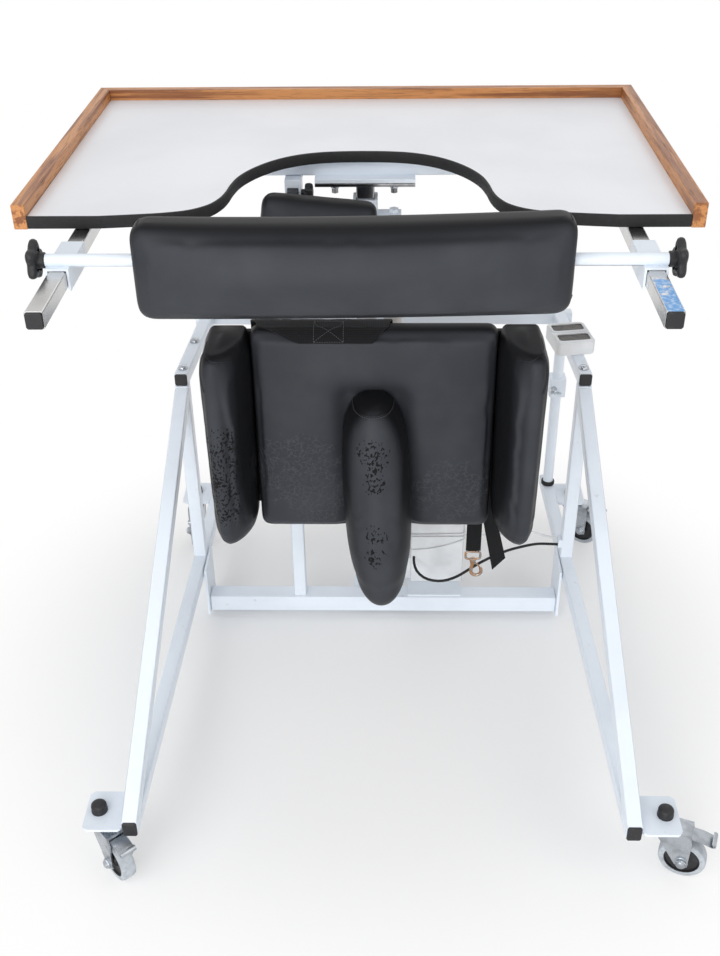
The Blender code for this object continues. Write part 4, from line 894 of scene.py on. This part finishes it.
def stretched(thing, node, spare):
    """Brings a cover to the size of the pad that it is cut for."""
    low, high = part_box(node)
    for axis in range(3):
        spots = [v.co[axis] for v in thing.data.vertices]
        first, last = min(spots), max(spots)
        grow = (high[axis] - low[axis] + 2 * spare) / (last - first)
        for v in thing.data.vertices:
            v.co[axis] = low[axis] - spare + (v.co[axis] - first) * grow


def upholster(name, node, body, rise, held, spare=0.0008):
    """A foam pad in its cover: the pad's own form drawn in a little, then filled out again as cloth.

    The two rises are how far its near and far face stand out in their middle.
    """
    thing = put(name, nodes[node].data.copy())
    thing.data.materials.clear()
    work(thing, "WELD", merge_threshold=SAME_SPOT)
    work(thing, "REMESH", mode="VOXEL", voxel_size=COVER_GRID)
    settled(thing)
    eased(thing, 2)
    mesh = thing.data
    free = [0.0 if held(v.co - DATUM) else 1.0 for v in mesh.vertices]
    out = [v.normal.copy() for v in mesh.vertices]
    start = [v.co - INSET * share * n for v, share, n in zip(mesh.vertices, free, out)]
    for v, p in zip(mesh.vertices, start):
        v.co = p
    cover = thing.modifiers.new("cover", "CLOTH")
    for key, value in COVER.items():
        setattr(cover.settings, key, value)
    cover.settings.effector_weights.gravity = 0.0
    cover.collision_settings.use_collision = False
    cover.point_cache.frame_start = 1
    cover.point_cache.frame_end = COVER_FRAMES
    for moment in range(1, COVER_FRAMES + 1):
        scene.frame_set(moment)
    settled(thing)
    scene.frame_set(1)
    for v, p, n, share in zip(thing.data.vertices, start, out, free):
        v.co = p + min(max((v.co - p).dot(n), 0.0), SWELL) * share * n
    eased(thing, 3)
    stretched(thing, node, spare)
    low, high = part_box(node)
    for v, share in zip(thing.data.vertices, free):
        u, f, w = [(2 * v.co[k] - low[k] - high[k]) / (high[k] - low[k]) for k in range(3)]
        crown = max(1.0 - u**4, 0.0) * max(1.0 - w * w, 0.0) * min(abs(f) * 1.4, 1.0)
        v.co.y += share * crown * (rise[1] if f > 0 else -rise[0])
    thing.data.shade_smooth()
    thing.data.materials.append(vinyl.material)
    work(thing, "SUBSURF", render_levels=1)
    fitted(thing, body, node)
    return thing


def on_bar(p):
    return hypot(p.y - BAR_Y, p.z - BAR_Z) < BAR_GRIP


hip = upholster("hip_cushion", "hip_pad", "hip_carriage", (0.015, 0.008), on_bar, 0.0015)
for v in hip.data.vertices:
    across = v.co.x - DATUM.x - TRAY_X
    v.co.y -= HIP_BOW * max(1.0 - (across / HIP_HALF) ** 2, 0.0)
    v.co.z += HIP_TILT * across


def lay_on(pad, points, lift):
    """The same points, put down on a pad's cover."""
    graph = bpy.context.evaluated_depsgraph_get()
    tree = BVHTree.FromObject(pad, graph)
    out = []
    for p in points:
        spot, normal, _, _ = tree.find_nearest(DATUM + Vector(p))
        out.append(spot + lift * normal)
    return out


def seam(name, pad, body, lines):
    """A sewn seam: a thin welt of the cover that stands up along each line."""
    welt = bmesh.new()
    for line in lines:
        sweep(welt, lay_on(pad, smooth_path(line, 8), WELT_R * 0.15), WELT_R, 8)
    made(name, welt, [vinyl], body, 60)


hip_lines = [[(TRAY_X + x, y, BAR_Z + z) for x, y, z in line] for line in HIP_SEAMS]
seam("hip_seams", hip, "hip_carriage", hip_lines)


# Chest pad
# A painted channel under the beam holds a square arm coated black, locked by a small knob.
# The arm carries a foam pad in the same vinyl.
CHANNEL_EDGE = 0.0008
CHEST_PAD_BACK = 0.0225
CHEST_KNOB_AT = placed(-0.1459, 0.1365, 0.897)
CHEST_KNOB = {"radius": 0.0162, "depth": 0.0142, "hub_r": 0.0062, "hub_long": 0.006}
dress(white, CHANNEL_EDGE, "chest_channel")
dress(black, CHANNEL_EDGE, "chest_arm")
star_knob("chest_clamp_knob", "chest_knob", "chest_clamp", CHEST_KNOB_AT, 1, **CHEST_KNOB)


def on_strip(p):
    return p.y > CHEST_PAD_BACK


upholster("chest_cushion", "chest_pad", "chest_carriage", (0.008, 0.0), on_strip)


# Knee board and bracket
# A painted bracket clamps round the column and is screwed to a plywood board that carries the knee pads.
# The board is painted black but for its back, which also serves as painted shade in the gaps between the
# pads, and a knob locks the bracket at its height.
PLY_EDGE = 0.0008
PLY_BACK = 0.0112
PLY = (0.56, 0.4, 0.235)
PLY_DARK = (0.36, 0.235, 0.125)
PLY_BLACK_AND_GAP_SHADE = (0.009, 0.009, 0.01)
KNEE_KNOB_AT = placed(-0.0613, 0.165, 0.545)
KNEE_KNOB = {"radius": 0.0222, "depth": 0.016, "hub_r": 0.0082, "hub_long": 0.011}
dress(white, TUBE_EDGE, "knee_bracket")
ply = Finish("birch_plywood")
face = ply.grain(260.0, 4.0, (0.025, 1.0, 1.0))
arches = ply.node("ShaderNodeTexWave", {"bands_direction": "Z"}, {
    "Vector": ply.node("ShaderNodeMapping", {}, {"Vector": ply.place, "Scale": (0.1, 1.0, 1.0)}),
    "Scale": 22.0, "Distortion": 5.0, "Detail": 3.0, "Detail Scale": 1.2,
})
timber = ply.mixed(0.25 * arches + 0.55 * ply.fade(face, 0.35, 0.7), PLY, PLY_DARK)
# Painted black all over but for the back face; in the gaps between the pads this black also stands in for
# shade.
black_and_gap_shade = ply.fade(DATUM.y + PLY_BACK - ply.axis("Y"), 0.0, 0.0006)
ply.shade({
    "Base Color": ply.mixed(black_and_gap_shade, timber, PLY_BLACK_AND_GAP_SHADE),
    "Roughness": 0.58 + 0.2 * face,
    "Normal": ply.bumped(face, 0.0002, 0.5),
})
dress(ply, PLY_EDGE, "knee_board")
star_knob("knee_clamp_knob", "knee_knob", "knee_clamp", KNEE_KNOB_AT, -1, **KNEE_KNOB)


# Knee pads
# A crowned foam panel, a bolster on each side of the knees and a pommel between them,
# each in its own sewn vinyl cover and screwed on from behind.
BOARD_FRONT = -0.004
PANEL_FRONT = -0.064
HORN_X = -0.022
HORN_LEAN = 0.016
HORN_TOP = 0.6
HORN_TALL = 0.37
HORN_HALF = 0.04
HORN_REACH = 0.024
HORN_PULL = 0.019
PULL_FROM = 0.03
PULL_OVER = 0.02
NECK = 0.84
NARROWED = 0.3
BLUNT = 0.13
OVAL_AT = (-0.0215, -0.0586, 0.606)
OVAL_HALF = (0.0365, 0.0715)
HORN_WELT_R = 0.0008
HORN_WELT_LIFT = 0.0004
STITCH_PITCH = 0.0042
STITCH_HALF = 0.0006
STITCH_LIFT = 0.0002
HORN_STITCH = 0.003
SEWN_NEARER = 0.002
SEWN_LOWER = 0.003
THREAD = (0.04, 0.04, 0.043)
THREAD_LIGHT = (0.11, 0.11, 0.116)
LEFT_SEAMS = (
    (
        (-0.303, -0.06, 0.716), (-0.3, -0.1, 0.714), (-0.285, -0.128, 0.712),
        (-0.262, -0.13, 0.712), (-0.24, -0.122, 0.71),
    ),
    (
        (-0.3, -0.1, 0.714), (-0.306, -0.112, 0.7), (-0.308, -0.118, 0.68),
        (-0.304, -0.126, 0.66), (-0.298, -0.13, 0.652),
    ),
)
RIGHT_SEAMS = (
    (
        (0.205, -0.122, 0.71), (0.225, -0.13, 0.712), (0.245, -0.122, 0.714),
        (0.262, -0.09, 0.715), (0.264, -0.05, 0.715),
    ),
    (
        (0.25, -0.112, 0.714), (0.262, -0.12, 0.7), (0.266, -0.124, 0.682),
        (0.262, -0.13, 0.664), (0.255, -0.133, 0.652),
    ),
    (
        (0.254, -0.11, 0.712), (0.266, -0.117, 0.698), (0.27, -0.12, 0.682),
        (0.266, -0.127, 0.662), (0.259, -0.131, 0.65),
    ),
)


def on_board(p):
    return p.y > BOARD_FRONT


def on_panel(p):
    return p.y > PANEL_FRONT


panel = upholster("knee_cushion", "knee_panel", "knee_carriage", (0.013, 0.0), on_board)
for v in panel.data.vertices:
    p = v.co - DATUM
    beside = abs(p.x - HORN_X - HORN_LEAN * (HORN_TOP - p.z) / HORN_TALL) - HORN_HALF
    gap = hypot(max(beside, 0.0), max(p.z - HORN_TOP, 0.0))
    proud = min(max(-p.y - PULL_FROM, 0.0) / PULL_OVER, 1.0)
    v.co.y += HORN_PULL * exp(-((gap / HORN_REACH) ** 2)) * proud
rolls = {}
for word in ("left", "right"):
    node = "knee_lateral_" + word
    rolls[word] = upholster("knee_bolster_" + word, node, "knee_carriage", (0.006, 0.0), on_board)
pommel = upholster("knee_horn", "knee_pommel", "knee_carriage", (0.002, 0.0), on_panel)
low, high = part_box("knee_pommel")
tall = high.z - low.z
for v in pommel.data.vertices:
    up = max((v.co.z - low.z) / tall - NECK, 0.0) / (1.0 - NECK)
    v.co.x += NARROWED * min(up, 1.0) ** 2 * ((low.x + high.x) / 2 - v.co.x)
    tip = max((v.co.z - low.z) / (BLUNT * tall), 0.0)
    if tip < 1.0:
        v.co.z = low.z + BLUNT * tall * tip**1.7
seam("left_bolster_seams", rolls["left"], "knee_carriage", LEFT_SEAMS)
seam("right_bolster_seams", rolls["right"], "knee_carriage", RIGHT_SEAMS)


def stitches(bm, path, long):
    """Adds a row of thread stitches along a path."""
    walked = 0.0
    due = STITCH_PITCH / 2
    for a, b in zip(path, path[1:]):
        span = (b - a).length
        while due < walked + span:
            middle = a.lerp(b, (due - walked) / span)
            turn = (b - a).to_track_quat("Z", "Y").to_matrix().to_4x4()
            bead(bm, Matrix.Translation(middle) @ turn, (STITCH_HALF, STITCH_HALF, long / 2), 8, 5)
            due += STITCH_PITCH
        walked += span


thread = Finish("black_thread")
strands = {"Vector": thread.place, "Scale": 900.0}
twist = thread.node("ShaderNodeTexWave", {"bands_direction": "DIAGONAL"}, strands)
thread.shade({
    "Base Color": thread.mixed(twist, THREAD, THREAD_LIGHT),
    "Roughness": 0.62 + 0.1 * twist,
})
oval = []
for i in range(41):
    t = pi * i / 40
    x = OVAL_AT[0] + OVAL_HALF[0] * cos(t)
    oval.append((x, OVAL_AT[1] - OVAL_HALF[1] * sin(t) ** 0.8, OVAL_AT[2]))
welt = bmesh.new()
sweep(welt, lay_on(pommel, oval, HORN_WELT_LIFT), HORN_WELT_R, 8)
made("pommel_welt", welt, [vinyl], "knee_carriage", 60)
sewing = bmesh.new()
beside_welt = [(x, y - SEWN_NEARER, z - SEWN_LOWER) for x, y, z in oval]
stitches(sewing, lay_on(pommel, beside_welt, STITCH_LIFT), HORN_STITCH)
made("pommel_stitches", sewing, [thread], "knee_carriage", 60)


# Sling belt
# A broad belt of black nylon webbing, folded over the top of the knee panel and stapled behind the board.
# A patch near its middle is sewn down with a box and a cross.
WEB = 0.003
WEB_BLACK = (0.005, 0.0052, 0.0058)
WEB_GREY = (0.022, 0.023, 0.025)
PANEL_TOP = 0.722
PANEL_ROUND = 0.018
PANEL_THICK = 0.05
BELT_LEFT = (-0.146, -0.233)
BELT_RIGHT = (-0.022, 0.012)
BELT_LIFT = 0.0006
BELT_BULGE = 0.002
BELT_BEHIND = ((0.0126, 0.7, 0.0), (0.0123, 0.665, 0.0), (0.0123, 0.63, 0.0))
BELT_SPREAD = 24
BELT_MEAN_WIDE = 0.226
COLUMNS = 30
BELT_STITCH = 0.0032
PATCH = ((-0.121, 1.5), (-0.071, 20.0))
weave = Finish("black_webbing", Specular_IOR_Level=0.15, Sheen_Weight=0.08, Sheen_Roughness=0.5)


def yarns(letter, scale):
    """Woven yarns that follow each other along one axis."""
    place = {"Vector": weave.place, "Scale": scale, "Distortion": 0.6}
    return weave.node("ShaderNodeTexWave", {"bands_direction": letter, "wave_profile": "SIN"}, place)


across = yarns("X", 105.0)
down = yarns("Z", 140.0)
lint = weave.grain(300.0, 4.0)
weave.shade({
    "Base Color": weave.mixed(0.55 * across * down + 0.25 * lint, WEB_BLACK, WEB_GREY),
    "Roughness": 0.78 + 0.12 * lint,
    "Normal": weave.bumped(across + down, 0.0004, 0.7),
})
route = []
for degrees in (0, 15, 30, 45, 60, 75, 90):
    turn = radians(degrees)
    out = PANEL_ROUND + BELT_LIFT + BELT_BULGE * cos(turn)
    height = PANEL_TOP - PANEL_ROUND + out * sin(turn)
    route.append((PANEL_ROUND - PANEL_THICK - out * cos(turn), height, 0.0))
route += [
    (-PANEL_THICK * 0.16, PANEL_TOP + BELT_LIFT, 0.0), (0.009, PANEL_TOP - PANEL_ROUND * 0.44, 0.0),
    *BELT_BEHIND,
]
fold = smooth_path(route, 3)
belt = bmesh.new()
grid = []
for i, p in enumerate(fold):
    s = min(1.0, i / BELT_SPREAD) ** 0.85
    left = BELT_LEFT[0] + (BELT_LEFT[1] - BELT_LEFT[0]) * s
    right = BELT_RIGHT[0] + (BELT_RIGHT[1] - BELT_RIGHT[0]) * s
    along = tangent(fold, i)
    out = Vector((-along.y, along.x, 0.0))
    row = []
    for layer in (0.0002, WEB):
        line = []
        for k in range(COLUMNS + 1):
            x = left + (right - left) * k / COLUMNS
            ripple = 0.0005 * noise.noise(Vector((x * 55.0, i * 0.35, 2.0))) if layer > 0.001 else 0.0
            q = p + out * (layer + ripple)
            line.append(belt.verts.new(DATUM + Vector((x, q.x, q.y))))
        row.append(line)
    grid.append(row[0] + list(reversed(row[1])))
bridge(belt, grid, False)
count = 2 * COLUMNS + 2
for end in (grid[0], grid[-1]):
    for k in range(COLUMNS):
        belt.faces.new((end[k], end[k + 1], end[count - 2 - k], end[count - 1 - k]))
belt = made("knee_belt", belt, [weave], "knee_carriage", 50, "sling_belt")
belt_long = sum((b - a).length for a, b in zip(fold, fold[1:]))
BELT_MEAN_WIDE * belt_long


def on_belt(x, step):
    """A place on the belt's outer side, so many steps along its fold."""
    i = min(int(step), len(fold) - 2)
    p = fold[i].lerp(fold[i + 1], step - i)
    along = (fold[i + 1] - fold[i]).normalized()
    q = p + (WEB + 0.0004) * Vector((-along.y, along.x, 0.0))
    return DATUM + Vector((x, q.x, q.y))


(x_low, low_step), (x_high, high_step) = PATCH
corners = [(x_low, low_step), (x_high, low_step), (x_high, high_step), (x_low, high_step)]
sewing = bmesh.new()
for a, b in ((0, 1), (1, 2), (2, 3), (3, 0), (0, 2), (1, 3)):
    (first_x, first_step), (last_x, last_step) = corners[a], corners[b]
    line = []
    for i in range(25):
        x = first_x + (last_x - first_x) * i / 24
        line.append(on_belt(x, first_step + (last_step - first_step) * i / 24))
    stitches(sewing, line, BELT_STITCH)
made("belt_stitches", sewing, [thread], "knee_carriage", 60)


# Hanging strap and hook
# A narrow webbing strap is screwed to the back of the board. It carries a plated snap hook,
# and its free tail hangs beside it with a slanted, heat-cut end.
STRAP_Y = 0.0123
STRAP_WEB = 0.0022
STRIPS = (
    (((0.157, 0.42), (0.186, 0.42)), ((0.157, 0.2195), (0.186, 0.2195))),
    (((0.1665, 0.398), (0.1905, 0.393)), ((0.2105, 0.1725), (0.235, 0.202))),
)
STRAP_ROWS = 24
STRAP_COLUMNS = 6
HOOK_X = 0.1715
HOOK_Y = 0.0134
EYE_LOW = 0.1967
EYE_R = 0.0023
EYE_HALF = (0.0145, 0.0088)
EYE_RISE = 0.011
EYE_POWER = 0.45
TURNPIN = (
    (0.0, 0.0035), (0.0062, 0.003), (0.0066, -0.001), (0.005, -0.004),
    (0.0048, -0.009), (0.0036, -0.0105), (0.0, -0.0108),
)
BOW_R = 0.0034
BOW_START = ((0.0, 0.0, -0.008), (-0.002, 0.0, -0.018))
BOW_AT = (0.0075, -0.0285)
BOW_HALF = (0.01, 0.009)
BOW_TIP = (0.0165, 0.0, -0.02)
GATE_R = 0.0017
GATE = ((0.004, 0.0, -0.006), (0.011, 0.0, -0.013), (0.0155, 0.0, -0.021))
PLATE = (0.34, 0.32, 0.31)
PLATE_TARNISHED = (0.5, 0.25, 0.1)
strap = bmesh.new()
for top, foot in STRIPS:
    rows = []
    for i in range(STRAP_ROWS + 1):
        ends = [Vector(a).lerp(Vector(b), i / STRAP_ROWS) for a, b in zip(top, foot)]
        rows.append([ends[0].lerp(ends[1], k / STRAP_COLUMNS) for k in range(STRAP_COLUMNS + 1)])
    skins = []
    for y in (STRAP_Y + 0.0001, STRAP_Y + STRAP_WEB):
        skins.append([[strap.verts.new(DATUM + Vector((p.x, y, p.y))) for p in row] for row in rows])
    back, front = skins
    for i in range(STRAP_ROWS):
        for k in range(STRAP_COLUMNS):
            for skin in skins:
                strap.faces.new((skin[i][k], skin[i][k + 1], skin[i + 1][k + 1], skin[i + 1][k]))
        for k in (0, STRAP_COLUMNS):
            strap.faces.new((back[i][k], back[i + 1][k], front[i + 1][k], front[i][k]))
    for k in range(STRAP_COLUMNS):
        for i in (0, STRAP_ROWS):
            strap.faces.new((back[i][k], back[i][k + 1], front[i][k + 1], front[i][k]))
strap = made("hanging_strap", strap, [weave], "knee_carriage", 50, "sling_strap")

plated = Finish("brassy_plate", Metallic=1.0)
tarnish = plated.fade(plated.grain(140.0, 4.0), 0.45, 0.58)
plated.shade({
    "Base Color": plated.mixed(tarnish, PLATE, PLATE_TARNISHED),
    "Roughness": 0.2 + 0.18 * tarnish,
    "Normal": plated.bumped(plated.grain(600.0), 0.0001, 0.4),
})
hook = bmesh.new()
hook_at = DATUM + Vector((HOOK_X, HOOK_Y, EYE_LOW))
oval = squared_oval(40, EYE_POWER)
eye = [hook_at + Vector((EYE_HALF[0] * u, 0.0, EYE_RISE + EYE_HALF[1] * v)) for u, v in oval]
sweep(hook, eye, EYE_R, 12, True)
lathe(hook, Matrix.Translation(hook_at), TURNPIN, 24)
bow = list(BOW_START)
for i in range(9):
    t = radians(180 + 22.5 * i)
    bow.append((BOW_AT[0] + BOW_HALF[0] * cos(t), 0.0, BOW_AT[1] + BOW_HALF[1] * sin(t)))
bow.append(BOW_TIP)
sweep(hook, [hook_at + p for p in smooth_path(bow, 3)], BOW_R, 12)
sweep(hook, [hook_at + p for p in smooth_path(GATE, 4)], GATE_R, 10)
made("snap_hook", hook, [plated], "knee_carriage", 50, "strap_hook")


# Room and camera
# A pale floor and an even white surround under soft lamps, seen by a camera at a standing person's height.
# The camera was found from the frame's parallel tubes.
FLOOR = 14.0
GLOW_NEAR = 0.4
GLOW_FAR = 0.95
SKY_LIGHT = 0.62
LAMPS = (
    ((-1.6, -2.2, 3.0), 2.2, 32.0), ((2.2, -1.4, 2.4), 2.0, 12.0), ((0.2, 2.4, 2.8), 2.4, 8.0),
    ((-0.5, -3.2, 0.9), 2.0, 42.0),
)
LAMP_AIM = Vector((0.0, 0.0, 0.5))
CAMERA_AT = (0.0018, -1.7859, 1.5803)
FOCUS_PIXELS = 1150.25
PICTURE_PIXELS = 956
PITCH = radians(33.503)
YAW = radians(-1.581)
ROLL = radians(-0.752)
floor_mesh = bpy.data.meshes.new("studio_floor")
corners = [(-FLOOR, -FLOOR, 0), (FLOOR, -FLOOR, 0), (FLOOR, FLOOR, 0), (-FLOOR, FLOOR, 0)]
floor_mesh.from_pydata(corners, [], [(0, 1, 2, 3)])
put("studio_floor", floor_mesh)
ground = Finish("studio_floor", Base_Color=(0.95, 0.95, 0.95), Roughness=0.9, Specular_IOR_Level=0.1)


def seen_straight(finish):
    """1 for what the camera sees, also in a mirror or through glass, and 0 for light on its way."""
    total = 0.0
    for kind in ("Camera", "Glossy", "Transmission"):
        total = total + finish.node("ShaderNodeLightPath", output="Is %s Ray" % kind)
    return finish.fade(total, 0.0, 1.0)


def whitened(finish, share, kind, end):
    """Lays plain white light over a finish by a share."""
    glow = finish.node(kind, {}, {"Color": (1.0, 1.0, 1.0), "Strength": 1.0})
    layers = {0: share, 1: Tone(finish, finish.shader.outputs[0]), 2: glow}
    blend = finish.node("ShaderNodeMixShader", {}, layers)
    finish.plug(finish.tree.nodes[end].inputs["Surface"], blend)


class Surround(Finish):
    """The even light all round the room, built with nodes as a finish is."""

    def __init__(self, name):
        self.material = bpy.data.worlds.new(name)
        self.material.use_nodes = True
        self.tree = self.material.node_tree
        self.shader = self.tree.nodes["Background"]


beyond = ground.fade(ground.away((0.0, 0.0, 0.0)), GLOW_NEAR, GLOW_FAR)
whitened(ground, seen_straight(ground) * beyond, "ShaderNodeEmission", "Material Output")
floor_mesh.materials.append(ground.material)

sky = Surround("studio")
scene.world = sky.material
sky.shade({"Color": (1.0, 1.0, 1.0), "Strength": SKY_LIGHT})
whitened(sky, seen_straight(sky), "ShaderNodeBackground", "World Output")

for i, (spot, size, power) in enumerate(LAMPS):
    lamp = bpy.data.lights.new("soft_lamp_%d" % i, "AREA")
    lamp.shape = "SQUARE"
    lamp.size = size
    lamp.energy = power
    holder = put("soft_lamp_%d" % i, lamp)
    holder.location = spot
    holder.rotation_euler = (LAMP_AIM - Vector(spot)).to_track_quat("-Z", "Y").to_euler()

lens = bpy.data.cameras.new("camera")
lens.sensor_fit = "VERTICAL"
lens.sensor_height = 24.0
lens.lens = FOCUS_PIXELS * lens.sensor_height / PICTURE_PIXELS
lens.clip_start = 0.05
lens.clip_end = 60.0
camera = put("camera", lens)
scene.camera = camera
ahead = Vector((sin(YAW) * cos(PITCH), cos(YAW) * cos(PITCH), -sin(PITCH)))
right = Vector((cos(YAW), -sin(YAW), 0.0))
above = right.cross(ahead)
right_rolled = right * cos(ROLL) + above * sin(ROLL)
above_rolled = above * cos(ROLL) - right * sin(ROLL)
turned = Matrix((right_rolled, above_rolled, -ahead)).transposed().to_4x4()
camera.matrix_world = placed(*CAMERA_AT) @ turned
scene.view_settings.view_transform = "Standard"
